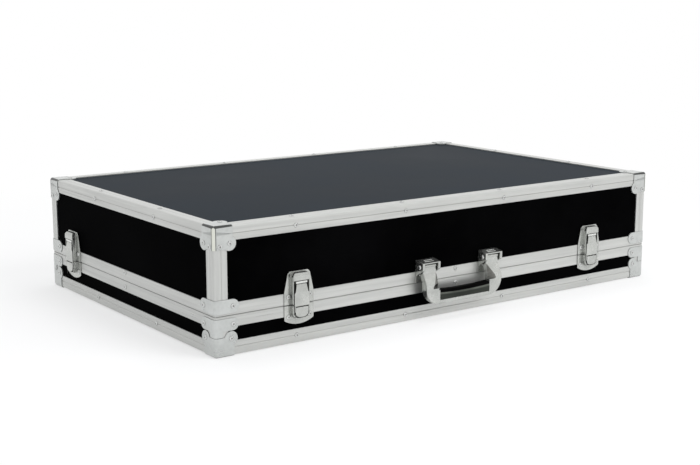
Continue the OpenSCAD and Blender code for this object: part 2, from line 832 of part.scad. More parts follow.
module lever_pin() {
    color("whitesmoke") for (s = [-1, 1])
        translate([s * (lever_half - lever_t - 0.8 + rim_half_out) / 2, -lever_pivot_out, lever_pivot_z])
            rotate([0, 90, 0]) cylinder(r = latch_pin_r, h = rim_half_out - lever_half + lever_t + 0.8, center = true);
}

module latch_lever() {
    lever_in = lever_half - lever_t;
    color("silver") difference() {
        union() {
            on_plane(lever_out - lever_t, lever_out)
                trough_outline(lever_half, lever_low, 6.5, lever_pivot_z + 0.5);
            across(lever_in, lever_half) {
                translate([lever_pivot_out, lever_pivot_z]) circle(eye_r);
                translate([hook_pin_out, hook_pin_z]) circle(eye_r);
                polygon([
                    [lever_pivot_out - eye_r, lever_pivot_z], [hook_pin_out - 1.2, hook_pin_z - 0.5],
                    [hook_pin_out + 1, hook_pin_z - 2.5], [lever_out - lever_t + 0.1, hook_pin_z - 2.5],
                    [lever_out - lever_t + 0.1, lever_pivot_z + 0.4], [lever_pivot_out, lever_pivot_z + 0.4]
                ]);
            }
        }
        pin_across(latch_pin_r + pin_clear, rim_half_out, lever_pivot_out, lever_pivot_z);
        pin_across(latch_pin_r, rim_half_out, hook_pin_out, hook_pin_z);
    }
}

module hook_pin() {
    color("whitesmoke") pin_across(latch_pin_r, arm_out, hook_pin_out, hook_pin_z);
}

module latch_hook() {
    arm_back = lever_pivot_out + latch_pin_r + latch_clear;
    strap_half = lever_half - 0.2;
    arm_top = strap_bend_z - 2;
    end_half = 7;
    color("silver") difference() {
        union() {
            across(arm_in, arm_out) {
                translate([hook_pin_out, hook_pin_z]) circle(2.2);
                polygon([
                    [hook_pin_out, hook_pin_z - 2.2], [lever_out, hook_pin_z + 0.8], [lever_out, arm_top],
                    [arm_back, arm_top], [arm_back, hook_pin_z + 2.8], [hook_pin_out + 0.3, hook_pin_z + 2.1]
                ]);
            }
            intersection() {
                along_wall(2 * arm_out) polygon([
                    [lever_out - lever_t, strap_z], [lever_out, strap_z], [lever_out, strap_bend_z],
                    [knuckle_out + 0.5, knuckle_z], [knuckle_out - 0.5, knuckle_z],
                    [lever_out - lever_t, strap_bend_z]
                ]);
                on_plane(0, 20) polygon([
                    [-arm_out, strap_z - 1], [arm_out, strap_z - 1], [arm_out, arm_top],
                    [strap_half, arm_top + 1.6], [end_half, knuckle_z], [-end_half, knuckle_z],
                    [-strap_half, arm_top + 1.6], [-arm_out, arm_top]
                ]);
            }
            pin_across(knuckle_r, end_half, knuckle_out, knuckle_z);
        }
        pin_across(latch_pin_r + pin_clear, rim_half_out, hook_pin_out, hook_pin_z);
    }
}

// The hood that covers the hook's end; shrunk by the steel's thickness it is its own hollow.
module hood_solid(shrink) {
    side_r = 4.5 - shrink;
    top_r = 6 - shrink;
    reach = hood_out - shrink;
    half = rim_half_out - shrink;
    high = hood_top - shrink;
    intersection() {
        along_wall(2 * half) {
            translate([0, hood_z - shrink]) square([reach - side_r, high - hood_z + shrink]);
            translate([0, hood_z - shrink]) square([reach, high - hood_z + shrink - side_r]);
            translate([reach - side_r, high - side_r]) circle(side_r);
        }
        on_plane(-1, 20) {
            translate([-half, hood_z - 2]) square([2 * half, high - top_r - hood_z + 2]);
            translate([-half + top_r, hood_z - 2]) square([2 * (half - top_r), high - hood_z + 2]);
            for (s = [-1, 1]) translate([s * (half - top_r), high - top_r]) circle(top_r);
        }
    }
}

module catch_plate() {
    low = lid_z + 0.3;
    high = split_z + catch_h;
    color("silver") difference() {
        union() {
            on_plane(0, latch_t) polygon([
                [-latch_w / 2, low], [latch_w / 2, low], [latch_w / 2, split_z + 16.5],
                [catch_top_w / 2, high - 3], [catch_top_w / 2 - 3, high], [-catch_top_w / 2 + 3, high],
                [-catch_top_w / 2, high - 3], [-latch_w / 2, split_z + 16.5]
            ]);
            across(rim_half, rim_half_out) polygon([
                [0, low], [rim_up - 1, low], [rim_up, low + 1], [rim_up, hood_z + 1], [0, hood_z + 1]
            ]);
            difference() {
                hood_solid(0);
                difference() {
                    hood_solid(latch_t);
                    on_plane(-5, latch_t) translate([-30, hood_z - 5]) square([60, 60]);
                }
            }
            on_plane(0, lip_out) translate([-6, knuckle_z - 2]) square([12, 2]);
        }
        pin_across(1.5, rim_half_out + 1, 4.6, hood_top - 4.5);
        for (s = [-1, 1]) translate([s * latch_rivet_at, 0, split_z + catch_rivet_up]) rivet_hole();
    }
}

module latch_plate_front_left() {
    at_latch(FRONT, -front_latch_at) latch_plate();
}

module latch_lever_front_left() {
    at_latch(FRONT, -front_latch_at) latch_lever();
}

module latch_hook_front_left() {
    at_latch(FRONT, -front_latch_at) latch_hook();
}

module catch_plate_front_left() {
    at_latch(FRONT, -front_latch_at) catch_plate();
}

module lever_pin_front_left() {
    at_latch(FRONT, -front_latch_at) lever_pin();
}

module hook_pin_front_left() {
    at_latch(FRONT, -front_latch_at) hook_pin();
}

module latch_plate_front_right() {
    at_latch(FRONT, front_latch_at) latch_plate();
}

module latch_lever_front_right() {
    at_latch(FRONT, front_latch_at) latch_lever();
}

module latch_hook_front_right() {
    at_latch(FRONT, front_latch_at) latch_hook();
}

module catch_plate_front_right() {
    at_latch(FRONT, front_latch_at) catch_plate();
}

module lever_pin_front_right() {
    at_latch(FRONT, front_latch_at) lever_pin();
}

module hook_pin_front_right() {
    at_latch(FRONT, front_latch_at) hook_pin();
}

module latch_plate_end_left() {
    at_latch(LEFT, -end_latch_at) latch_plate();
}

module latch_lever_end_left() {
    at_latch(LEFT, -end_latch_at) latch_lever();
}

module latch_hook_end_left() {
    at_latch(LEFT, -end_latch_at) latch_hook();
}

module catch_plate_end_left() {
    at_latch(LEFT, -end_latch_at) catch_plate();
}

module lever_pin_end_left() {
    at_latch(LEFT, -end_latch_at) lever_pin();
}

module hook_pin_end_left() {
    at_latch(LEFT, -end_latch_at) hook_pin();
}

module latch_plate_end_right() {
    at_latch(RIGHT, end_latch_at) latch_plate();
}

module latch_lever_end_right() {
    at_latch(RIGHT, end_latch_at) latch_lever();
}

module latch_hook_end_right() {
    at_latch(RIGHT, end_latch_at) latch_hook();
}

module catch_plate_end_right() {
    at_latch(RIGHT, end_latch_at) catch_plate();
}

module lever_pin_end_right() {
    at_latch(RIGHT, end_latch_at) lever_pin();
}

module hook_pin_end_right() {
    at_latch(RIGHT, end_latch_at) hook_pin();
}

module base_front_panel() {
    base_wall(FRONT);
}

module base_rear_panel() {
    base_wall(REAR);
}

module base_left_panel() {
    base_wall(LEFT);
}

module base_right_panel() {
    base_wall(RIGHT);
}

module lid_front_panel() {
    lid_wall(FRONT);
}

module lid_rear_panel() {
    lid_wall(REAR);
}

module lid_left_panel() {
    lid_wall(LEFT);
}

module lid_right_panel() {
    lid_wall(RIGHT);
}

module base_edging_long() {
    base_edging([FRONT, REAR]);
}

module base_edging_short() {
    base_edging([RIGHT, LEFT]);
}

module lid_edging_long() {
    lid_edging([FRONT, REAR]);
}

module lid_edging_short() {
    lid_edging([RIGHT, LEFT]);
}

module base_rim_long() {
    base_rim([FRONT, REAR]);
}

module base_rim_short() {
    base_rim([RIGHT, LEFT]);
}

module lid_rim_long() {
    lid_rim([FRONT, REAR]);
}

module lid_rim_short() {
    lid_rim([RIGHT, LEFT]);
}

base_floor_panel();
base_front_panel();
base_rear_panel();
base_left_panel();
base_right_panel();
base_edging_long();
base_edging_short();
base_corner_angles();
base_rim_long();
base_rim_short();
base_corner_caps();
base_corner_braces();
base_rivets();
base_wall_foam();
floor_mat();
lid_top_panel();
lid_front_panel();
lid_rear_panel();
lid_left_panel();
lid_right_panel();
lid_edging_long();
lid_edging_short();
lid_corner_angles();
lid_rim_long();
lid_rim_short();
lid_corner_caps();
lid_corner_braces();
lid_rivets();
lid_wall_foam();
lid_foam_pad();
handle_bracket_left();
handle_bracket_right();
handle_bow();
handle_grip();
handle_pins();
latch_plate_front_left();
latch_lever_front_left();
latch_hook_front_left();
catch_plate_front_left();
lever_pin_front_left();
hook_pin_front_left();
latch_plate_front_right();
latch_lever_front_right();
latch_hook_front_right();
catch_plate_front_right();
lever_pin_front_right();
hook_pin_front_right();
latch_plate_end_left();
latch_lever_end_left();
latch_hook_end_left();
catch_plate_end_left();
lever_pin_end_left();
hook_pin_end_left();
latch_plate_end_right();
latch_lever_end_right();
latch_hook_end_right();
catch_plate_end_right();
lever_pin_end_right();
hook_pin_end_right();
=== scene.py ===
import bmesh
import bpy
import numpy as np
from mathutils import Matrix, Vector


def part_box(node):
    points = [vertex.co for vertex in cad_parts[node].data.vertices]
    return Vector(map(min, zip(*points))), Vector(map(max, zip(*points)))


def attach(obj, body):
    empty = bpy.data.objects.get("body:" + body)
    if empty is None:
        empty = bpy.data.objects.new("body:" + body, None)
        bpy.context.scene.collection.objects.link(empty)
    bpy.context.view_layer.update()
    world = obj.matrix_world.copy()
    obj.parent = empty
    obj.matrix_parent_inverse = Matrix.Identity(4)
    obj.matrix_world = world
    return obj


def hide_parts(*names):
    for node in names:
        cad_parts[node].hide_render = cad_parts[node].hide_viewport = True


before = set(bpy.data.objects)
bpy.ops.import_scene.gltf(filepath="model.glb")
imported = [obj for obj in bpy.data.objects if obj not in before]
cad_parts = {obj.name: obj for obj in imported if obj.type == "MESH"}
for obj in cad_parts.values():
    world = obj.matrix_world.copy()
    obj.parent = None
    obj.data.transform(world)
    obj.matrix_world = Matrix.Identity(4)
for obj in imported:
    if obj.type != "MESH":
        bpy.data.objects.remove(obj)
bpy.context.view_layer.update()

mm = 0.001

edgeLow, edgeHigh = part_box("lid_edging_long")
case = {
    "halfWidth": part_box("lid_edging_short")[1][0],
    "front": edgeLow[1],
    "rear": edgeHigh[1],
    "top": edgeHigh[2],
    "bottom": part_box("base_edging_long")[0][2],
    "split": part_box("base_corner_braces")[1][2] + 3 * mm,  # the base's braces stop 3 mm below it
}
case["midY"] = (case["front"] + case["rear"]) / 2
case["halfDepth"] = (case["rear"] - case["front"]) / 2
latchWalls = {"front_left": "front", "front_right": "front", "end_left": "left", "end_right": "right"}


def wallAxes(side):
    # each wall's middle on the ground, its direction to the right seen from outside, and its way out
    middle, along, out = {
        "front": ((0, case["front"], 0), (1, 0, 0), (0, -1, 0)),
        "right": ((case["halfWidth"], case["midY"], 0), (0, 1, 0), (1, 0, 0)),
        "rear": ((0, case["rear"], 0), (-1, 0, 0), (0, 1, 0)),
        "left": ((-case["halfWidth"], case["midY"], 0), (0, -1, 0), (-1, 0, 0)),
    }[side]
    return np.array(middle, float), np.array(along, float), np.array(out, float)


def halfLength(side):
    return case["halfWidth"] if side in ("front", "rear") else case["halfDepth"]


def latchAlong(place):
    # how far along its wall a latch stands, from the middle of its catch plate
    middle, along, _ = wallAxes(latchWalls[place])
    return float(np.dot(np.mean(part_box("catch_plate_" + place), axis=0) - middle, along))


# mesh from a grid of points: rows by columns, each quad between four neighbours
def gridMesh(name, points, closeRows=False, closeColumns=False, capEnds=False, flip=False):
    rows, columns = points.shape[:2]
    index = np.arange(rows * columns).reshape(rows, columns)
    if closeRows:
        index = np.vstack([index, index[:1]])
    if closeColumns:
        index = np.hstack([index, index[:, :1]])
    quads = np.stack([index[:-1, :-1], index[:-1, 1:], index[1:, 1:], index[1:, :-1]], axis=-1).reshape(-1, 4)
    faces = quads[:, ::-1].tolist() if flip else quads.tolist()
    if capEnds:
        first, last = index[0, :columns].tolist(), index[-1, :columns].tolist()
        faces += [first, last[::-1]] if flip else [first[::-1], last]
    mesh = bpy.data.meshes.new(name)
    mesh.from_pydata(points.reshape(-1, 3).tolist(), [], faces)
    mesh.update()
    piece = bpy.data.objects.new(name, mesh)
    bpy.context.scene.collection.objects.link(piece)
    return piece


def smooth(piece, angle=40):
    for face in piece.data.polygons:
        face.use_smooth = True
    piece.data.set_sharp_from_angle(angle=np.radians(angle))
    return piece


# the same small grid put down at many places: point = place + x * along + y * up + z * out
def repeatedMesh(name, shape, places, alongs, ups, outs):
    rows, columns = shape.shape[:2]
    local = shape.reshape(-1, 3)
    points = (places[:, None, :] + local[None, :, 0:1] * alongs[:, None, :]
              + local[None, :, 1:2] * ups[:, None, :] + local[None, :, 2:3] * outs[:, None, :])
    index = np.arange(rows * columns).reshape(rows, columns)
    index = np.hstack([index, index[:, :1]])
    quads = np.stack([index[:-1, :-1], index[:-1, 1:], index[1:, 1:], index[1:, :-1]], axis=-1).reshape(-1, 4)
    steps = np.arange(len(places)) * rows * columns
    faces = (quads[None] + steps[:, None, None]).reshape(-1, 4).tolist()
    closing = np.stack([index[0, columns - 1::-1], index[-1, :columns]])
    faces += (closing[None] + steps[:, None, None]).reshape(-1, columns).tolist()
    mesh = bpy.data.meshes.new(name)
    mesh.from_pydata(points.reshape(-1, 3).tolist(), [], faces)
    mesh.update()
    piece = bpy.data.objects.new(name, mesh)
    bpy.context.scene.collection.objects.link(piece)
    return smooth(piece, 60)


class Level:
    # a value socket that takes part in sums, products and powers
    def __init__(self, shade, socket):
        self.shade, self.socket = shade, socket

    def join(self, operation, first, second):
        made = self.shade.node("ShaderNodeMath", {"operation": operation}, {0: first, 1: second})
        return Level(self.shade, made.outputs[0])

    def __add__(self, other):
        return self.join("ADD", self, other)

    def __radd__(self, other):
        return self.join("ADD", other, self)

    def __sub__(self, other):
        return self.join("SUBTRACT", self, other)

    def __rsub__(self, other):
        return self.join("SUBTRACT", other, self)

    def __mul__(self, other):
        return self.join("MULTIPLY", self, other)

    def __rmul__(self, other):
        return self.join("MULTIPLY", other, self)

    def __truediv__(self, other):
        return self.join("DIVIDE", self, other)

    def __pow__(self, other):
        return self.join("POWER", self, other)

    def __abs__(self):
        return self.join("ABSOLUTE", self, 0.0)

    def least(self, other):
        return self.join("MINIMUM", self, other)

    def most(self, other):
        return self.join("MAXIMUM", self, other)


class Shade:
    def __init__(self, owner):
        owner.use_nodes = True
        self.tree = owner.node_tree
        self.tree.nodes.clear()

    def node(self, kind, settings=None, inputs=None):
        made = self.tree.nodes.new(kind)
        for key, value in (settings or {}).items():
            if key == "stops":
                ramp = made.color_ramp
                for stop, (at, colour) in enumerate(value):
                    element = ramp.elements[stop] if stop < 2 else ramp.elements.new(at)
                    element.position, element.color = at, (*colour, 1)
            else:
                setattr(made, key, value)
        for key, value in (inputs or {}).items():
            if isinstance(value, Level):
                self.tree.links.new(value.socket, made.inputs[key])
            elif isinstance(value, bpy.types.NodeSocket):
                self.tree.links.new(value, made.inputs[key])
            else:
                made.inputs[key].default_value = value
        return made

    def place(self, stretch=(1, 1, 1), turn=(0, 0, 0)):
        where = self.node("ShaderNodeTexCoord")
        return self.node("ShaderNodeMapping", {}, {"Vector": where.outputs["Object"], "Scale": stretch,
                                                   "Rotation": turn}).outputs[0]

    def noise(self, scale, detail=4, roughness=0.55, stretch=(1, 1, 1)):
        made = self.node("ShaderNodeTexNoise", {}, {"Vector": self.place(stretch), "Scale": scale,
                                                    "Detail": detail, "Roughness": roughness})
        return Level(self, made.outputs["Fac"])

    def cells(self, scale, feature="F1", stretch=(1, 1, 1)):
        made = self.node("ShaderNodeTexVoronoi", {"feature": feature},
                         {"Vector": self.place(stretch), "Scale": scale})
        return Level(self, made.outputs["Distance"])

    def between(self, value, low, high, lowTo=0.0, highTo=1.0):
        made = self.node("ShaderNodeMapRange", {"clamp": True}, {
            "Value": value, "From Min": low, "From Max": high, "To Min": lowTo, "To Max": highTo})
        return Level(self, made.outputs["Result"])

    def axes(self):
        # how far a point is along x, y and z, in metres
        where = self.node("ShaderNodeTexCoord")
        made = self.node("ShaderNodeSeparateXYZ", {}, {0: where.outputs["Object"]})
        return [Level(self, socket) for socket in made.outputs]

    def blend(self, factor, first, second):
        made = self.node("ShaderNodeMix", {"data_type": "RGBA"}, {0: factor})
        for key, colour in ((6, first), (7, second)):
            if isinstance(colour, bpy.types.NodeSocket):
                self.tree.links.new(colour, made.inputs[key])
            else:
                made.inputs[key].default_value = (*colour, 1)
        return made.outputs[2]

    def crevice(self, reach, low=0.3, high=0.85):
        # a mask for painted shade: one in tight corners and under overlaps, nothing in the open
        made = self.node("ShaderNodeAmbientOcclusion", {"samples": 8}, {"Distance": reach})
        return self.between(Level(self, made.outputs["AO"]), high, low)

    def bump(self, height, strength, distance):
        return self.node("ShaderNodeBump", {}, {"Height": height, "Strength": strength,
                                                "Distance": distance}).outputs[0]

    def surface(self, **inputs):
        names = {key: key.replace("_", " ") for key in inputs}
        body = self.node("ShaderNodeBsdfPrincipled", {}, {names[key]: value for key, value in inputs.items()})
        self.node("ShaderNodeOutputMaterial", {}, {"Surface": body.outputs[0]})
        return body


def newShade(name):
    material = bpy.data.materials.new(name)
    return material, Shade(material)


# satin anodised extrusion: fine die lines run with the length, broad faint bands lie under them, and the
# last argument says how dark the painted shade in its grooves and crevices is
def edgingMetal(name, direction, paintedShade):
    look = {"pale": (0.6, 0.605, 0.585), "dull": (0.5, 0.505, 0.49), "scratch": (0.38, 0.38, 0.37),
            "paintedShade": (0.1, 0.1, 0.095), "roughness": 0.34, "metal": 0.72}
    material, shade = newShade(name)
    fine = {"X": (0.006, 1, 1), "Y": (1, 0.006, 1), "Z": (1, 1, 0.006)}[direction]
    broad = {"X": (0.03, 1, 1), "Y": (1, 0.03, 1), "Z": (1, 1, 0.03)}[direction]
    lines = shade.noise(1300, 2, 0.6, fine)
    bands = shade.noise(190, 2, 0.5, broad)
    haze = shade.noise(9, 3, 0.5)
    tone = shade.between(lines * 0.3 + bands * 0.45 + haze * 0.25, 0.38, 0.62)
    colour = shade.blend(tone, look["dull"], look["pale"])
    scratches = shade.between(shade.noise(330, 2, 0.5, fine), 0.68, 0.72)
    colour = shade.blend(scratches * 0.3, colour, look["scratch"])
    # painted shade in grooves and under overlaps
    colour = shade.blend(shade.crevice(2.2 * mm) * paintedShade, colour, look["paintedShade"])
    shade.surface(Base_Color=colour, Metallic=look["metal"],
                  Roughness=look["roughness"] + (lines - 0.5) * 0.2 + (haze - 0.5) * 0.15,
                  Normal=shade.bump(lines, 0.08, 0.00015))
    return material


# zinc-plated pressing: a cool even grey with a faint spangle and painted shade in its crevices; a folded one has
# a dark seam along each corner edge, with a painted highlight for the rolled edge of a leaf inside the upright one,
# and a dent pressed into each wall leaf, deepest at the corner and dying out along the wall, with painted shade above
def cornerMetal(folded):
    look = {"pale": (0.585, 0.6, 0.588), "dull": (0.49, 0.505, 0.493), "paintedShade": (0.08, 0.08, 0.078),
            "dentPaintedShade": (0.12, 0.125, 0.12), "gap": (0.02, 0.02, 0.02), "paintedRollHighlight": (0.72, 0.73, 0.66),
            "roughness": 0.3, "metal": 0.82,
            "seam": 0.7 * mm, "seamMiddle": 0.5 * mm, "seamLength": 34 * mm,
            "gapOut": 2 * mm, "rolledOut": 1.1 * mm,
            "dentLength": 24 * mm, "dentMiddle": 10 * mm, "dentHalf": 6 * mm}
    material, shade = newShade("zincPressingFolded" if folded else "zincPressing")
    spangle = shade.cells(210)
    haze = shade.noise(30, 4, 0.5)
    tone = shade.between(spangle * 0.25 + haze, 0.4, 0.8)
    colour = shade.blend(tone, look["dull"], look["pale"])
    relief = haze * 0.1
    if folded:
        x, y, z = shade.axes()
        fromSide = case["halfWidth"] - abs(x)
        fromFront = case["halfDepth"] - abs(y - case["midY"])
        fromTop = case["top"] - z
        upright = fromSide + fromFront  # how far round the corner from the upright seam
        edge = (fromSide + fromTop).least(fromFront + fromTop)
        width = look["seam"] * (1.2 - (upright + fromTop) / look["seamLength"]).most(0.35)
        seam = shade.between(abs(edge - look["seamMiddle"]) / width, 1, 0.6)
        gap = shade.between(upright, look["gapOut"] + 0.6 * mm, look["gapOut"])
        # a painted highlight stands for the rolled edge of a leaf inside the upright seam
        paintedRollHighlight = shade.between(upright, look["rolledOut"] + 0.5 * mm, look["rolledOut"])
        seam = seam.most(gap * (1 - paintedRollHighlight))
        along = upright / look["dentLength"]
        half = look["dentHalf"] * (1 - along).most(0.02)
        spread = (abs(fromTop - look["dentMiddle"]) / half).least(1.0)
        dent = (1 - spread * spread) ** 2
        dent = dent * shade.between(along, 1, 0.85) * shade.between(along, 0.06, 0.16)
        # painted shade on the dent's upper part, whose wall faces down
        upper = shade.between(look["dentMiddle"] - fromTop, -1.5 * mm, 3 * mm)
        colour = shade.blend(dent * upper * 0.8, colour, look["dentPaintedShade"])
        colour = shade.blend(seam * 0.9, colour, look["gap"])
        colour = shade.blend(paintedRollHighlight * (1 - seam), colour, look["paintedRollHighlight"])
        relief = relief - dent * 5 - seam * 1.5
    # painted shade in crevices and under overlaps
    colour = shade.blend(shade.crevice(2.2 * mm) * 0.8, colour, look["paintedShade"])
    shade.surface(Base_Color=colour, Metallic=look["metal"], Roughness=look["roughness"] + (haze - 0.5) * 0.25,
                  Normal=shade.bump(relief, 0.6, 0.0005))
    return material


# bright plating over pressed steel, with finger marks, the press's faint ripple and painted shade in its crevices
def brightMetal(name, pale, dull):
    look = {"pale": pale, "dull": dull, "pit": (0.25, 0.25, 0.24), "paintedShade": (0.035, 0.035, 0.033),
            "roughness": 0.17, "metal": 0.9}
    material, shade = newShade(name)
    marks = shade.noise(40, 4, 0.55)
    ripple = shade.noise(90, 2, 0.5)
    pits = shade.between(shade.cells(300), 0.12, 0.05)
    colour = shade.blend(shade.between(marks, 0.38, 0.65), look["dull"], look["pale"])
    colour = shade.blend(pits * 0.35, colour, look["pit"])
    # painted shade in crevices and under overlaps
    colour = shade.blend(shade.crevice(3.5 * mm, 0.15, 0.9) * 0.9, colour, look["paintedShade"])
    shade.surface(Base_Color=colour, Metallic=look["metal"],
                  Roughness=look["roughness"] + shade.between(marks, 0.45, 0.75) * 0.2,
                  Normal=shade.bump(ripple - pits * 0.3, 0.12, 0.0003))
    return material


# a rivet's bright dome, with painted shade where it meets the metal under it
def rivetMetal():
    look = {"pale": (0.7, 0.71, 0.7), "dull": (0.5, 0.51, 0.5), "paintedShade": (0.03, 0.03, 0.03), "roughness": 0.2,
            "metal": 0.9}
    material, shade = newShade("rivetBright")
    grain = shade.noise(420, 3, 0.6)
    colour = shade.blend(shade.between(grain, 0.35, 0.7), look["dull"], look["pale"])
    # painted shade round the rivet's foot
    colour = shade.blend(shade.crevice(1.6 * mm, 0.35, 0.85), colour, look["paintedShade"])
    shade.surface(Base_Color=colour, Metallic=look["metal"], Roughness=look["roughness"] + grain * 0.15,
                  Normal=shade.bump(grain, 0.1, 0.0002))
    return material


# black laminate on plywood: a fine pebbled print, a little dust and a few long scuffs
def sideLaminate():
    look = {"deep": (0.0006, 0.0006, 0.0007), "worn": (0.002, 0.002, 0.0022), "scuff": (0.014, 0.014, 0.015),
            "roughness": 0.62}
    material, shade = newShade("sideLaminate")
    pebbles = shade.cells(900, "SMOOTH_F1")
    haze = shade.noise(7, 5, 0.55)
    scuffs = shade.between(shade.noise(60, 4, 0.7, (0.06, 0.06, 1)), 0.7, 0.8)
    colour = shade.blend(shade.between(haze, 0.4, 0.7), look["deep"], look["worn"])
    colour = shade.blend(scuffs * 0.25, colour, look["scuff"])
    shade.surface(Base_Color=colour, IOR=1.035, Roughness=look["roughness"] + (haze - 0.5) * 0.2 + scuffs * 0.1,
                  Normal=shade.bump(pebbles, 0.08, 0.0002))
    return material


# the top's laminate is smoother and bluer, with fine scuffs; the blue-grey is partly its own, partly painted
# reflection
def topLaminate():
    look = {"deep": (0.013, 0.0172, 0.0222), "worn": (0.0182, 0.024, 0.0308), "scuff": (0.06, 0.07, 0.075),
            "roughness": 0.4}
    material, shade = newShade("topLaminate")
    pebbles = shade.cells(900, "SMOOTH_F1")
    haze = shade.noise(5, 4, 0.5)
    scuffs = shade.between(shade.noise(80, 4, 0.7, (0.05, 1, 1)), 0.71, 0.78)
    colour = shade.blend(shade.between(haze, 0.4, 0.7), look["deep"], look["worn"])
    colour = shade.blend(scuffs * 0.2, colour, look["scuff"])
    shade.surface(Base_Color=colour, IOR=1.04, Roughness=look["roughness"] + (haze - 0.5) * 0.15 + scuffs * 0.1,
                  Normal=shade.bump(pebbles, 0.03, 0.0002))
    return material


# the steel stub left in a pop rivet's crater: rough, a little rusty, and dark partly for the steel, partly as painted
# shade
def stubMetal():
    look = {"dark": (0.2, 0.195, 0.185), "pale": (0.36, 0.35, 0.33), "roughness": 0.55, "metal": 0.6}
    material, shade = newShade("rivetStub")
    grain = shade.noise(900, 3, 0.6)
    colour = shade.blend(shade.between(grain, 0.4, 0.65), look["dark"], look["pale"])
    shade.surface(Base_Color=colour, Metallic=look["metal"], Roughness=look["roughness"] + grain * 0.2,
                  Normal=shade.bump(grain, 0.4, 0.0002))
    return material


# dark open-cell foam: fine pores, with dust on the walls between them
def foamSkin():
    look = {"pore": (0.022, 0.022, 0.024), "wall": (0.075, 0.075, 0.08), "roughness": 0.95}
    material, shade = newShade("openCellFoam")
    cells = shade.cells(520)
    dust = shade.noise(30, 5, 0.6)
    colour = shade.blend(shade.between(cells + dust * 0.4, 0.2, 1.0), look["pore"], look["wall"])
    shade.surface(Base_Color=colour, Roughness=look["roughness"], IOR=1.3, Normal=shade.bump(cells, 0.9, 0.0012))
    return material


# a loop mat: small tufted loops a little longer across the case, trodden paler in places
def loopPile():
    look = {"loop": (0.05, 0.05, 0.054), "between": (0.016, 0.016, 0.018), "worn": (0.06, 0.06, 0.064),
            "roughness": 0.97}
    material, shade = newShade("loopPileMat")
    loops = shade.cells(330, "SMOOTH_F1", (1, 0.7, 1))
    tufts = shade.noise(700, 3, 0.6)
    wear = shade.noise(9, 4, 0.5)
    colour = shade.blend(shade.between(loops + tufts * 0.5, 0.3, 1.1), look["loop"], look["between"])
    colour = shade.blend(shade.between(wear, 0.5, 0.75) * 0.4, colour, look["worn"])
    shade.surface(Base_Color=colour, Roughness=look["roughness"], IOR=1.3,
                  Normal=shade.bump(1 - loops + tufts * 0.3, 1.0, 0.002))
    return material


# soft black moulding: a fine stipple, shinier where hands have polished it, and a painted highlight along its
# upper front edge, which sags like a parabola
def gripRubber(name, deep, worn, index, edge=None):
    material, shade = newShade(name)
    stipple = shade.cells(1500)
    polish = shade.noise(22, 4, 0.5)
    colour = shade.blend(shade.between(polish, 0.35, 0.7), deep, worn)
    if edge:
        x, _, z = shade.axes()
        across = x / edge["half"]
        # a painted highlight along the face's upper front edge, broken up by the polish
        below = edge["top"] - (1 - across * across) * edge["sag"] - z
        band = shade.between(abs(below - edge["bandAt"]), edge["bandFades"], edge["bandFull"])
        colour = shade.blend(band * shade.between(polish, 0.2, 0.5) * 0.55, colour, edge["paintedHighlight"])
    shade.surface(Base_Color=colour, Roughness=0.5 + (polish - 0.5) * 0.4, IOR=index,
                  Normal=shade.bump(stipple, 0.25, 0.0003))
    return material


finish = {
    "edgingX": edgingMetal("satinEdgingX", "X", 0.9), "edgingY": edgingMetal("satinEdgingY", "Y", 0.8),
    "edgingZ": edgingMetal("satinEdgingZ", "Z", 0.3), "rimX": edgingMetal("satinRimX", "X", 0.35),
    "corner": cornerMetal(False), "folded": cornerMetal(True),
    "bright": brightMetal("brightPlating", (0.56, 0.57, 0.545), (0.44, 0.45, 0.43)),
    # a paler copy of the plating for rolled edges: a painted highlight
    "paintedHighlightPlating": brightMetal("brightPlatingPaintedHighlight", (0.78, 0.79, 0.77), (0.66, 0.67, 0.65)),
    # a darker copy of the plating for the bow's facets: painted shade
    "cut": brightMetal("brightPlatingPaintedShade", (0.22, 0.22, 0.205), (0.12, 0.12, 0.11)),
    "rivet": rivetMetal(),
    "side": sideLaminate(), "top": topLaminate(),
    "stub": stubMetal(), "foam": foamSkin(), "mat": loopPile(),
    # the face: a painted highlight along its upper front edge
    "grip": gripRubber("gripMoulding", (0.021, 0.024, 0.02), (0.034, 0.038, 0.032), 1.18,
                       {"half": 43.5 * mm, "sag": 1.6 * mm, "top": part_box("handle_grip")[1][2] - 4.2 * mm,
                        "bandAt": 1 * mm, "bandFull": 0.5 * mm, "bandFades": 1.9 * mm,
                        "paintedHighlight": (0.15, 0.16, 0.14)}),
    # the core: a near-black copy of the moulding, painted shade for the dark band above the face
    "gripCore": gripRubber("gripCorePaintedShade", (0.0015, 0.0015, 0.0015), (0.003, 0.003, 0.003), 1.05),
}
print("finishes made:", len(finish))


def dress(piece, key):
    piece.data.materials.clear()
    piece.data.materials.append(finish[key])


def nodeFinish(name):
    if "_rim_long" in name or name == "base_edging_long":
        return "rimX"
    if name == "lid_edging_long":
        return "edgingX"
    if "_rim_short" in name or "_edging_short" in name:
        return "edgingY"
    if "corner_angles" in name:
        return "edgingZ"
    if name == "lid_corner_caps":
        return "folded"
    if "corner_caps" in name or "corner_braces" in name:
        return "corner"
    if name == "lid_top_panel":
        return "top"
    if name.endswith("_panel"):
        return "side"
    if "rivets" in name or "_pin" in name:
        return "rivet"
    if "foam" in name:
        return "foam"
    if name == "floor_mat":
        return "mat"
    if name == "handle_grip":
        return "grip"
    return "bright"


for name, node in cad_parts.items():
    dress(node, nodeFinish(name))
print("nodes dressed")


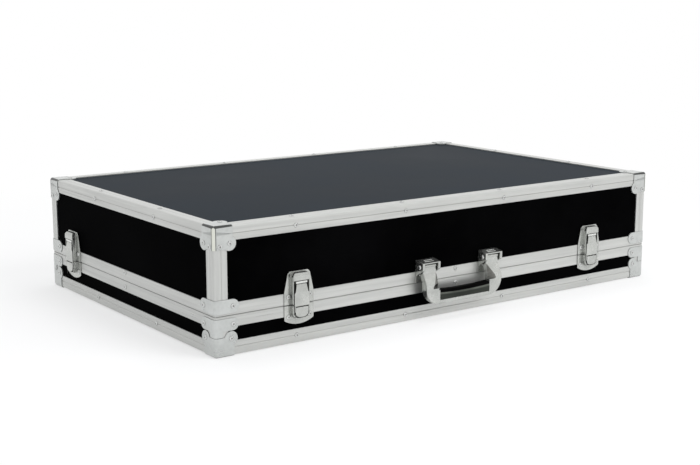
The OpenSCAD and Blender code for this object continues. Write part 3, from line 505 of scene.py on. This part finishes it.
handle = {
    "pivotZ": (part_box("handle_pins")[0][2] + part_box("handle_pins")[1][2]) / 2,
    "low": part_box("handle_bow")[0][2],
    "reach": case["front"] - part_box("handle_bow")[0][1],
    "halfWidth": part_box("handle_bow")[1][0],
    "armHalf": 11 * mm,
    "barHalf": 9.75 * mm,
    "barDepth": 11.5 * mm,
    "pivotOut": 8.5 * mm,
    "eye": 5 * mm,  # radius of the arm's rounded top
    "turn": 11 * mm,  # radius of the path round each lower corner
    "cornerRound": 1.6 * mm,
    "facetWide": 11.5 * mm,  # the cut on each arm's inner front edge, at its widest
    "facetDeep": 5 * mm,
    "slotHalf": (7.5 * mm, 2.25 * mm),  # half the length and half the width of the slot in each housing's roof
    "slotOut": 9 * mm,
    "slotRound": 1.2 * mm,
    "slotWire": 0.5 * mm,  # radius of the slot's rolled edge
    "roofFlat": 4 * mm,  # the roof is level to here, then falls by the slope
    "roofSlope": 2.5 / 12,
    "armDeep": 4.5 * mm,  # half an arm's depth below its eye
    "swellFrom": 9 * mm,  # below the pivot an arm starts to grow outwards, and does so over the next length
    "swellOver": 14 * mm,
    "cutFrom": 7 * mm,  # the same for the cut
    "cutOver": 20 * mm,
    "gripHalf": 43.5 * mm,
    "gripHeight": 14 * mm,
    "gripSag": 1.6 * mm,
    "gripProud": 0.3 * mm,
    "faceDrop": 4.2 * mm,  # the face's top edge below the core's
    "faceDeep": 4 * mm,
}


def roundedBox(angle, power):
    # a superellipse: cosine and sine, each drawn towards plus or minus one by the power
    c, s = np.cos(angle), np.sin(angle)
    return np.sign(c) * np.abs(c) ** (2 / power), np.sign(s) * np.abs(s) ** (2 / power)


# rows of rounded rectangles: four quarter circles joined by straight sides, the inner half of each row
# as wide as halfInner and the outer half as wide as halfOuter
def roundedSection(halfOuter, halfInner, halfDeep, radius, arcSteps=5, sideSteps=20):
    r = np.minimum(radius, halfDeep * 0.98)[:, None]
    inner, outer, deep = halfInner[:, None], halfOuter[:, None], halfDeep[:, None]
    bend = np.linspace(0, np.pi / 2, arcSteps)[None, :]
    steps = np.linspace(0, 1, sideSteps + 1)[None, 1:-1]
    corners = [(inner - r, deep - r, 0), (r - outer, deep - r, 1), (r - outer, r - deep, 2), (inner - r, r - deep, 3)]
    wide, thick = [], []
    for i, (cx, cy, quarter) in enumerate(corners):
        nextX, nextY, _ = corners[(i + 1) % 4]
        turn = bend + quarter * np.pi / 2
        arcX, arcY = cx + r * np.cos(turn), cy + r * np.sin(turn)
        goalX = nextX + r * np.cos(turn[:, -1:])
        goalY = nextY + r * np.sin(turn[:, -1:])
        wide += [arcX, arcX[:, -1:] + (goalX - arcX[:, -1:]) * steps]
        thick += [arcY, arcY[:, -1:] + (goalY - arcY[:, -1:]) * steps]
    return np.hstack(wide), np.hstack(thick)


# a rounded box carried down one arm, along the bar and up the other; its depth and its distance from
# the wall follow the height, and the arms' inner front edge is cut by a plane that deepens downwards
def buildBow():
    armX = handle["halfWidth"] - handle["armHalf"]
    barZ = handle["low"] + handle["barHalf"]
    turn = handle["turn"]
    straight = np.concatenate([np.linspace(0, 0.09, 9)[:-1], np.linspace(0.09, 1, 60)])
    top = handle["pivotZ"] + handle["eye"]
    downZ = top + (barZ + turn - top) * straight
    bend = np.linspace(0, np.pi / 2, 22)[1:]
    gripEnd = -handle["gripHalf"]
    acrossX = np.concatenate([np.linspace(-armX + turn, gripEnd - 0.05 * mm, 6)[1:],
                              np.linspace(gripEnd + 0.25 * mm, 0, 34)])
    pathX = np.concatenate([np.full(downZ.shape, -armX), -armX + turn - turn * np.cos(bend), acrossX])
    pathZ = np.concatenate([downZ, barZ + turn - turn * np.sin(bend), np.full(acrossX.shape, barZ)])
    heading = np.concatenate([np.zeros(downZ.shape), bend, np.full(acrossX.shape, np.pi / 2)])
    pathX = np.concatenate([pathX, -pathX[-2::-1]])
    pathZ = np.concatenate([pathZ, pathZ[-2::-1]])
    heading = np.concatenate([heading, np.pi - heading[-2::-1]])
    inX, inZ = np.cos(heading), np.sin(heading)  # towards the finger gap

    drop = handle["pivotZ"] - pathZ
    swell = np.clip((drop - handle["swellFrom"]) / handle["swellOver"], 0, 1)
    armOut = handle["pivotOut"] - (handle["eye"] - handle["armDeep"])
    barOut = handle["reach"] - handle["barDepth"] / 2
    centreOut = armOut + (barOut - armOut) * swell
    halfDeep = handle["armDeep"] + (handle["barDepth"] / 2 - handle["armDeep"]) * swell
    over = np.clip(-drop / handle["eye"], 0, 1)
    halfDeep = np.where(drop < 0, handle["eye"] * np.sqrt(1 - over ** 2) + 0.02 * mm, halfDeep)
    centreOut = np.where(drop < 0, handle["pivotOut"], centreOut)
    halfIn = handle["armHalf"] + (handle["barHalf"] - handle["armHalf"]) * np.sin(np.clip(heading, 0, np.pi))
    underGrip = np.abs(pathX) < handle["gripHalf"]
    halfTop = np.where(underGrip, handle["barHalf"] - handle["gripHeight"] + 0.5 * mm, halfIn)
    wide, thick = roundedSection(halfIn, halfTop, halfDeep, handle["cornerRound"])

    cut = np.clip((drop - handle["cutFrom"]) / handle["cutOver"], 0, 1) * (pathZ > barZ + turn + 1.5 * mm)
    plane = wide / handle["facetWide"] + thick / handle["facetDeep"]
    limit = halfTop / handle["facetWide"] + halfDeep / handle["facetDeep"] - cut
    beyond = np.maximum(0, plane - limit[:, None]) * (cut > 0)[:, None]
    thick = thick - beyond * handle["facetDeep"]

    points = np.empty((*wide.shape, 3))
    points[..., 0] = pathX[:, None] + wide * inX[:, None]
    points[..., 1] = case["front"] - (centreOut[:, None] + thick)
    points[..., 2] = pathZ[:, None] + wide * inZ[:, None]
    bow = gridMesh("handle_bow_cast", points, closeColumns=True, capEnds=True)
    # the facets' faces take the darker plating: painted shade on the cut
    onCut = (beyond[:-1] > 0) & (np.roll(beyond, -1, axis=1)[:-1] > 0)
    index = np.zeros(len(bow.data.polygons), np.int32)
    index[:onCut.size] = onCut.reshape(-1)
    dress(bow, "bright")
    bow.data.materials.append(finish["cut"])
    bow.data.polygons.foreach_set("material_index", index)
    return smooth(bow, 32)


# one length of the grip: a rounded box carried along X, its top edge sagging like a parabola and its
# ends drawn in; back and front are how far it lies out from the wall
def buildGrip(name, back, front, top, power):
    x = np.concatenate([[-1, -0.997], np.linspace(-0.985, 0.985, 50), [0.997, 1]])
    low = handle["low"] + 2 * handle["barHalf"] - handle["gripHeight"]
    high = top - handle["gripSag"] * (1 - x ** 2)
    endShrink = np.interp(np.abs(x), [0, 0.985, 0.997, 1], [1, 1, 0.985, 0.95])
    across, up = roundedBox(np.linspace(0, 2 * np.pi, 72, endpoint=False), power)
    halfDeep = (front - back) / 2 * endShrink
    halfUp = (high - low) / 2 * endShrink
    points = np.empty((len(x), 72, 3))
    points[..., 0] = (x * handle["gripHalf"])[:, None]
    points[..., 1] = case["front"] - ((back + front) / 2 + halfDeep[:, None] * across[None, :])
    points[..., 2] = ((high + low) / 2)[:, None] + halfUp[:, None] * up[None, :]
    return smooth(gridMesh(name, points, closeColumns=True, capEnds=True, flip=True), 40)


bow = buildBow()
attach(bow, "handle")
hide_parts("handle_bow")
gripTop = handle["low"] + 2 * handle["barHalf"] + handle["gripProud"]
gripBack = handle["reach"] - handle["barDepth"] + handle["gripProud"]
gripFront = handle["reach"] + handle["gripProud"]
gripCore = buildGrip("handle_grip_core", gripBack, gripFront - 1.5 * mm, gripTop, 6)
gripFace = buildGrip("handle_grip_face", gripFront - handle["faceDeep"], gripFront, gripTop - handle["faceDrop"], 4)
for part, key in ((gripCore, "gripCore"), (gripFace, "grip")):
    dress(part, key)
    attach(part, "handle")
    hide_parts("handle_grip")
print("handle built")


rivet = {
    "radius": 3.1 * mm,
    "height": 1.3 * mm,
    "pitch": 172 * mm,
    "line": 10 * mm,  # from the case's edge to the row on the edging
    "cap": 1 * mm,  # thickness of a cap or brace under the head
    "plate": 1.2 * mm,  # thickness of a latch or handle plate under it
    "lobe": 21.5 * mm,  # from the corner to the rivet in a cap's lobe
    "brace": 24.5 * mm,
    "second": (8 * mm, 24.5 * mm),  # a lid cap's second rivet, from the corner and from the top
    "rimUp": (8 * mm, 11.5 * mm),  # the rivet in the middle of each rim, under and over the split
    "braceUp": (10.7 * mm, 11.6 * mm),
    "latchUp": (14.5 * mm, 11 * mm),
    "latchApart": 15.8 * mm,
    "housingUp": 12 * mm,
    "housingApart": 7 * mm,
    "underFlat": 0.6,  # heads under the base are lower
    "underShank": 0.52,  # and in its caps' holes only the shanks' ends show
}


def rivetRow(side):
    count = max(2, int(2 * halfLength(side) / rivet["pitch"]))
    return [(i - (count - 1) / 2) * rivet["pitch"] for i in range(count)]


# each rivet on a wall: how far along it, how high, and how far out its head starts
def wallSites(side, half):
    split, top, bottom = case["split"], case["top"], case["bottom"]
    latches = [latchAlong(place) for place, wall in latchWalls.items() if wall == side]
    pair = (-rivet["latchApart"], rivet["latchApart"])
    ends = [s * halfLength(side) for s in (-1, 1)]
    inwards = [-1 if end > 0 else 1 for end in ends]

    def fromEnds(distance, z, out):
        return [(end + way * distance, z, out) for end, way in zip(ends, inwards)]

    if half == "base":
        sites = [(u, bottom + rivet["line"], 0) for u in rivetRow(side)] + [(0, split - rivet["rimUp"][0], 0)]
        sites += fromEnds(rivet["lobe"], bottom + rivet["lobe"], rivet["cap"])
        sites += fromEnds(rivet["brace"], split - rivet["braceUp"][0], rivet["cap"])
        sites += [(u + s, split - rivet["latchUp"][0], rivet["plate"]) for u in latches for s in pair]
        return sites
    sites = [(u, top - rivet["line"], 0) for u in rivetRow(side)] + [(0, split + rivet["rimUp"][1], 0)]
    sites += fromEnds(rivet["lobe"], top - rivet["lobe"], rivet["cap"])
    sites += fromEnds(rivet["second"][0], top - rivet["second"][1], rivet["cap"])
    sites += fromEnds(rivet["brace"], split + rivet["braceUp"][1], rivet["cap"])
    sites += [(u + s, split + rivet["latchUp"][1], rivet["plate"]) for u in latches for s in pair]
    if side == "front":
        arm, apart = handle["halfWidth"] - handle["armHalf"], rivet["housingApart"]
        sites += [(s * arm + t, split + rivet["housingUp"], rivet["plate"]) for s in (-1, 1) for t in (-apart, apart)]
    return sites


# a pop rivet's head: a dome turned about its axis, with a small crater where the mandrel broke off
def rivetShape():
    r = np.array([1, 0.985, 0.93, 0.84, 0.73, 0.62, 0.5, 0.39, 0.34, 0.3, 0.15, 0.01]) * rivet["radius"]
    z = np.array([0, 0.25, 0.48, 0.68, 0.84, 0.94, 0.99, 1, 0.95, 0.72, 0.66, 0.7]) * rivet["height"]
    turn = np.linspace(0, 2 * np.pi, 20, endpoint=False)
    return np.stack([r[:, None] * np.cos(turn), r[:, None] * np.sin(turn), z[:, None] + 0 * turn], axis=-1)


def placeRivets(half):
    places, alongs, ups, outs = [], [], [], []
    upward = np.array([0.0, 0, 1])
    for side in ("front", "right", "rear", "left"):
        middle, along, out = wallAxes(side)
        for u, z, proud in wallSites(side, half):
            places.append(middle + along * u + upward * z + out * proud)
            alongs.append(along)
            ups.append(upward)
            outs.append(out)
        if half == "lid":  # on the top face
            faceSites = [(u, rivet["line"], 0) for u in rivetRow(side)]
            if side in ("front", "rear"):
                faceSites += [(s * (case["halfWidth"] - rivet["lobe"]), rivet["lobe"], rivet["cap"]) for s in (-1, 1)]
            for u, inward, proud in faceSites:
                places.append(middle + along * u - out * inward + upward * (case["top"] + proud))
                alongs.append(along)
                ups.append(-out)
                outs.append(upward)
        else:  # low heads under the base, and the ends of the shanks in its caps' holes
            faceSites = [(u, rivet["line"], 1) for u in rivetRow(side)]
            if side in ("front", "rear"):
                faceSites += [(s * (case["halfWidth"] - rivet["lobe"]), rivet["lobe"], rivet["underShank"])
                              for s in (-1, 1)]
            for u, inward, size in faceSites:
                places.append(middle + along * u - out * inward + upward * case["bottom"])
                alongs.append(along * size)
                ups.append(out * size)
                outs.append(-upward * rivet["underFlat"])
    return [np.array(a) for a in (places, alongs, ups, outs)]


for half in ("lid", "base"):
    places, alongs, ups, outs = placeRivets(half)
    shape = rivetShape()
    heads = repeatedMesh(half + "_rivet_heads", shape, places, alongs, ups, outs)
    dress(heads, "rivet")
    heads.data.materials.append(finish["stub"])
    rows, columns = shape.shape[:2]
    stubs = np.tile(np.repeat(np.arange(rows - 1) > 7, columns), len(places))  # the crater's rings
    closings = np.tile([False, True], len(places))  # and its floor
    heads.data.polygons.foreach_set("material_index", np.concatenate([stubs, closings]).astype(np.int32))
    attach(heads, half)
    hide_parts(half + "_rivets")
    print(half, "rivets:", len(places))


# a round wire bent along a closed path: circles stand square to the path, one at each of its points
def closedTube(name, path, radius, sides=10):
    ahead = np.roll(path, -1, axis=0) - np.roll(path, 1, axis=0)
    ahead /= np.linalg.norm(ahead, axis=1, keepdims=True)
    upward = np.cross(np.cross(ahead, [0, 0, 1.0]), ahead)
    upward /= np.linalg.norm(upward, axis=1, keepdims=True)
    side = np.cross(ahead, upward)
    turn = np.linspace(0, 2 * np.pi, sides, endpoint=False)[None, :, None]
    points = path[:, None, :] + radius * (np.cos(turn) * side[:, None, :] + np.sin(turn) * upward[:, None, :])
    return smooth(gridMesh(name, points, closeRows=True, closeColumns=True, flip=True), 60)


def buildSlotEdge(name, middleX):
    # a rounded rectangle drawn on the roof, which slopes down to the front
    halfLong, halfWide = handle["slotHalf"]
    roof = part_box("handle_bracket_left")[1][2]
    bendRadius = handle["slotRound"]
    bend = np.linspace(0, np.pi / 2, 6)
    x, out = [], []
    for i, (sx, sy) in enumerate(((1, 1), (-1, 1), (-1, -1), (1, -1))):
        x.append(sx * (halfLong - bendRadius) + bendRadius * np.cos(bend + i * np.pi / 2))
        out.append(sy * (halfWide - bendRadius) + bendRadius * np.sin(bend + i * np.pi / 2))
    x, out = np.concatenate(x), handle["slotOut"] + np.concatenate(out)
    z = roof - 0.1 * mm - np.clip(out - handle["roofFlat"], 0, None) * handle["roofSlope"]
    path = np.stack([middleX + x, case["front"] - out, z], axis=1)
    edge = closedTube(name, path, handle["slotWire"])
    # the rolled edge takes the paler plating: a painted highlight
    dress(edge, "paintedHighlightPlating")
    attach(edge, "lid")


for place in ("left", "right"):
    low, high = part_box("handle_bracket_" + place)
    buildSlotEdge("handle_slot_edge_" + place, (low[0] + high[0]) / 2)
print("slot edges built")


roll = {
    "up": 29 * mm,  # the rolled end's middle above the split
    "inwards": 1.9 * mm,  # and in from the hook's outermost face
    "radius": 1.75 * mm,
    "half": 8.4 * mm,
}


# a rolled steel end: circles along a straight line, drawn in towards both ends like a quarter circle
def buildRoll(place):
    middle, along, out = wallAxes(latchWalls[place])
    far = max(float(np.dot(np.array(corner) - middle, out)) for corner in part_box("latch_hook_" + place))
    t = np.concatenate([[-1, -0.985, -0.95, -0.9], np.linspace(-0.85, 0.85, 12), [0.9, 0.95, 0.985, 1]])
    size = np.interp(1 - np.abs(t), [0, 0.015, 0.05, 0.1], [0.45, 0.78, 0.95, 1]) * roll["radius"]
    turn = np.linspace(0, 2 * np.pi, 24, endpoint=False)
    ring = out[None, None, :] * np.cos(turn)[None, :, None] + np.array([0, 0, 1.0]) * np.sin(turn)[None, :, None]
    core = middle + along * (latchAlong(place) + t[:, None] * roll["half"]) + out * (far - roll["inwards"])
    core[:, 2] += case["split"] + roll["up"]
    points = core[:, None, :] + size[:, None, None] * ring
    rod = smooth(gridMesh("latch_roll_" + place, points, closeColumns=True, capEnds=True, flip=True), 50)
    # the rolled end takes the paler plating: a painted highlight
    dress(rod, "paintedHighlightPlating")
    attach(rod, "hook_" + place)


for place in latchWalls:
    buildRoll(place)
print("latch rolls built")


pressed = {"ease": 0.3 * mm, "steps": 2, "sharp": 34, "flat": 0.4, "join": 0.002 * mm}


# a pressed part's own form with its sharp edges eased: a copy's triangles are joined, those that lie in
# one plane are made one face, and each edge sharper than the given angle is cut back and rounded
def easedPart(node, name, body):
    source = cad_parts[node]
    mesh = source.data.copy()
    mesh.name = name
    work = bmesh.new()
    work.from_mesh(mesh)
    bmesh.ops.remove_doubles(work, verts=work.verts, dist=pressed["join"])
    bmesh.ops.dissolve_limit(work, angle_limit=np.radians(pressed["flat"]), verts=work.verts, edges=work.edges)
    work.to_mesh(mesh)
    work.free()
    piece = bpy.data.objects.new(name, mesh)
    bpy.context.scene.collection.objects.link(piece)
    smooth(piece, pressed["sharp"])
    ease = piece.modifiers.new("easedEdges", "BEVEL")
    ease.width, ease.segments = pressed["ease"], pressed["steps"]
    ease.limit_method, ease.angle_limit = "ANGLE", np.radians(pressed["sharp"])
    ease.use_clamp_overlap = False
    dress(piece, nodeFinish(node))
    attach(piece, body)
    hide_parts(node)


pressedCount = 0
for node in sorted(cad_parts):
    place = node.split("_", 2)[-1]
    if node.startswith("latch_plate"):
        easedPart(node, "latch_tray_" + place, "base")
    elif node.startswith("catch_plate"):
        easedPart(node, "catch_tray_" + place, "lid")
    elif node.startswith("latch_lever"):
        easedPart(node, "latch_thumb_lever_" + place, "lever_" + place)
    elif node.startswith("latch_hook"):
        easedPart(node, "latch_strap_" + place, "hook_" + place)
    elif node.startswith("handle_bracket"):
        easedPart(node, "handle_housing_" + place, "lid")
    elif node.endswith("_corner_caps") or node.endswith("_corner_braces"):
        half, form = node.split("_corner_")
        easedPart(node, half + "_pressed_" + form, half)
    else:
        continue
    pressedCount += 1
print("pressed parts eased:", pressedCount)


foam = {"wall": 5 * mm, "gap": 0.2 * mm, "round": 1.2 * mm, "wave": 0.25 * mm, "pile": 0.12 * mm,
        "stripFill": 0.9, "padFill": 0.85, "matFill": 1.0}


# a slab: a rectangle with rounded corners, wide by tall, carried from end to end of its length; it is
# drawn in a little at both ends, and its skin waves in and out like a product of three slow sines
def slab(name, low, high, lengthAxis, radius, wave):
    low, high = np.array(low), np.array(high)
    others = [i for i in range(3) if i != lengthAxis]
    middle, half = (low + high) / 2, (high - low) / 2
    wide, tall = half[others[0]], half[others[1]]
    bend = np.linspace(0, np.pi / 2, 5)
    sideSteps, profile = 22, []
    for corner, (sx, sy) in enumerate(((1, 1), (-1, 1), (-1, -1), (1, -1))):
        turn = bend + corner * np.pi / 2
        arc = np.stack([sx * (wide - radius) + radius * np.cos(turn), sy * (tall - radius) + radius * np.sin(turn)], 1)
        following = [(-1, 1), (-1, -1), (1, -1), (1, 1)][corner]
        start = (corner + 1) * np.pi / 2
        goal = np.array([following[0] * (wide - radius) + radius * np.cos(start),
                         following[1] * (tall - radius) + radius * np.sin(start)])
        steps = np.linspace(0, 1, sideSteps)[1:-1, None]
        profile += [arc, arc[-1] + (goal - arc[-1]) * steps]
    profile = np.vstack(profile)
    reach = half[lengthAxis]
    t = np.concatenate([[-1, -1 + 0.2 * radius / reach, -1 + radius / reach],
                        np.linspace(-1 + 3 * radius / reach, 1 - 3 * radius / reach, 80),
                        [1 - radius / reach, 1 - 0.2 * radius / reach, 1]])
    inset = np.interp(1 - np.abs(t), [0, 0.2 * radius / reach, radius / reach], [radius * 0.7, radius * 0.3, 0])
    points = np.empty((len(t), len(profile), 3))
    scale = np.stack([1 - inset / wide, 1 - inset / tall], 1)
    points[..., lengthAxis] = (middle[lengthAxis] + t * reach)[:, None]
    for i, axis in enumerate(others):
        points[..., axis] = middle[axis] + profile[None, :, i] * scale[:, None, i]
    x, y, z = points[..., 0], points[..., 1], points[..., 2]
    swell = (np.sin(x * 41 + 1) * np.sin(y * 53 + 2) * np.cos(z * 61) - 1) / 2 * wave
    away = points - middle
    depth = np.clip(np.abs(away[..., others]) - (half[others] - 1.5 * radius), 0, None)
    push = np.sign(away[..., others]) * depth / (depth.sum(axis=-1, keepdims=True) + 1e-9)
    for i, axis in enumerate(others):
        points[..., axis] += push[..., i] * swell
    piece = gridMesh(name, points, closeColumns=True, capEnds=True, flip=lengthAxis == 1)
    return smooth(piece, 50)


def liningPieces(half):
    low, high = (np.array(corner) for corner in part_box(half + "_wall_foam"))
    deep, gap = foam["wall"], foam["wall"] + foam["gap"]
    return {
        half + "_foam_front": ((low[0], low[1], low[2]), (high[0], low[1] + deep, high[2]), 0),
        half + "_foam_rear": ((low[0], high[1] - deep, low[2]), (high[0], high[1], high[2]), 0),
        half + "_foam_left": ((low[0], low[1] + gap, low[2]), (low[0] + deep, high[1] - gap, high[2]), 1),
        half + "_foam_right": ((high[0] - deep, low[1] + gap, low[2]), (high[0], high[1] - gap, high[2]), 1),
    }


for half in ("base", "lid"):
    for name, (low, high, axis) in liningPieces(half).items():
        strip = slab(name, low, high, axis, foam["round"], foam["wave"])
        dress(strip, "foam")
        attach(strip, half)
        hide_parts(half + "_wall_foam")
pad = slab("lid_foam_sheet", *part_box("lid_foam_pad"), 0, 2 * foam["round"], 2 * foam["wave"])
dress(pad, "foam")
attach(pad, "lid")
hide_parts("lid_foam_pad")
mat = slab("floor_pile_mat", *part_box("floor_mat"), 0, foam["round"], foam["pile"])
dress(mat, "mat")
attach(mat, "base")
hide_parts("floor_mat")
print("lining built")


studio = {
    "worldColour": (0.93, 0.96, 1, 1),
    "worldStrength": 0.42,
    "floorHalf": 25.0,
    "floorColour": (0.9, 0.9, 0.9, 1),
    "shadowKept": 0.6,  # how white the floor looks in the shadow's place, where one is plain white
    "shadowEnds": (0.5, 1.1),  # past the shadow the floor is plain white
    "lamps": {  # place, aim, size and power
        "keyLight": ((0.9, -2.3, 1.7), (0, 0, 0.08), 2.2, 56),
        "fillLight": ((-2.4, -0.6, 1.2), (0, 0, 0.08), 1.8, 4),
        "topLight": ((0.1, 0.3, 2.6), (0, 0, 0.1), 2.4, 40),
    },
}


def seenDirectly(shade):
    # one for what the camera sees, straight or in a reflection or through glass
    path = shade.node("ShaderNodeLightPath")
    camera, glossy, through = (Level(shade, path.outputs["Is %s Ray" % kind])
                               for kind in ("Camera", "Glossy", "Transmission"))
    return shade.between(camera + glossy + through, 0, 1)


def buildWorld():
    world = bpy.data.worlds.new("studio")
    bpy.context.scene.world = world
    shade = Shade(world)
    soft = shade.node("ShaderNodeBackground", {},
                      {"Color": studio["worldColour"], "Strength": studio["worldStrength"]})
    white = shade.node("ShaderNodeBackground", {}, {"Color": (1, 1, 1, 1), "Strength": 1.0})
    mixed = shade.node("ShaderNodeMixShader", {}, {0: seenDirectly(shade), 1: soft.outputs[0], 2: white.outputs[0]})
    shade.node("ShaderNodeOutputWorld", {}, {"Surface": mixed.outputs[0]})


def buildFloor():
    size = studio["floorHalf"]
    points = np.array([[[-size, -size, 0], [size, -size, 0]], [[-size, size, 0], [size, size, 0]]])
    floor = gridMesh("studio_floor", points)
    material, shade = newShade("paleFloor")
    x, y, _ = shade.axes()
    away = shade.between((x * x + y * y) ** 0.5, *studio["shadowEnds"])
    white = seenDirectly(shade) * (studio["shadowKept"] + away * (1 - studio["shadowKept"]))
    matte = shade.node("ShaderNodeBsdfDiffuse", {}, {"Color": studio["floorColour"]})
    glow = shade.node("ShaderNodeEmission", {}, {"Color": (1, 1, 1, 1), "Strength": 1.0})
    mixed = shade.node("ShaderNodeMixShader", {}, {0: white, 1: matte.outputs[0], 2: glow.outputs[0]})
    shade.node("ShaderNodeOutputMaterial", {}, {"Surface": mixed.outputs[0]})
    floor.data.materials.append(material)


def softbox(name, place, aim, size, power):
    lamp = bpy.data.lights.new(name, "AREA")
    lamp.shape, lamp.size, lamp.energy = "DISK", size, power
    holder = bpy.data.objects.new(name, lamp)
    bpy.context.scene.collection.objects.link(holder)
    holder.location = place
    holder.rotation_euler = (Vector(aim) - Vector(place)).to_track_quat("-Z", "Y").to_euler()
    holder.visible_glossy = False


def buildCamera():
    # the right, up and forward directions come from azimuth, elevation and roll
    shot = {"azimuth": -35.988, "elevation": 11.096, "roll": 0.008, "lens": 65.478,
            "place": (-1.10208, -1.50241, 0.4402)}
    az, el, roll = np.radians([shot["azimuth"], shot["elevation"], shot["roll"]])
    back = np.array([np.sin(az) * np.cos(el), -np.cos(az) * np.cos(el), np.sin(el)])
    right = np.cross(-back, [0, 0, 1])
    right = right / np.linalg.norm(right)
    up = np.cross(right, -back)
    right, up = np.cos(roll) * right + np.sin(roll) * up, -np.sin(roll) * right + np.cos(roll) * up
    data = bpy.data.cameras.new("photoCamera")
    data.sensor_fit, data.sensor_width, data.lens = "HORIZONTAL", 36, shot["lens"]
    data.clip_end = 100
    camera = bpy.data.objects.new("photoCamera", data)
    bpy.context.scene.collection.objects.link(camera)
    turn = Matrix([[right[i], up[i], back[i]] for i in range(3)]).to_4x4()
    camera.matrix_world = Matrix.Translation(shot["place"]) @ turn
    bpy.context.scene.camera = camera


buildWorld()
buildFloor()
for name, (place, aim, size, power) in studio["lamps"].items():
    softbox(name, place, aim, size, power)
buildCamera()
bpy.context.scene.view_settings.view_transform = "Standard"
print("studio built")
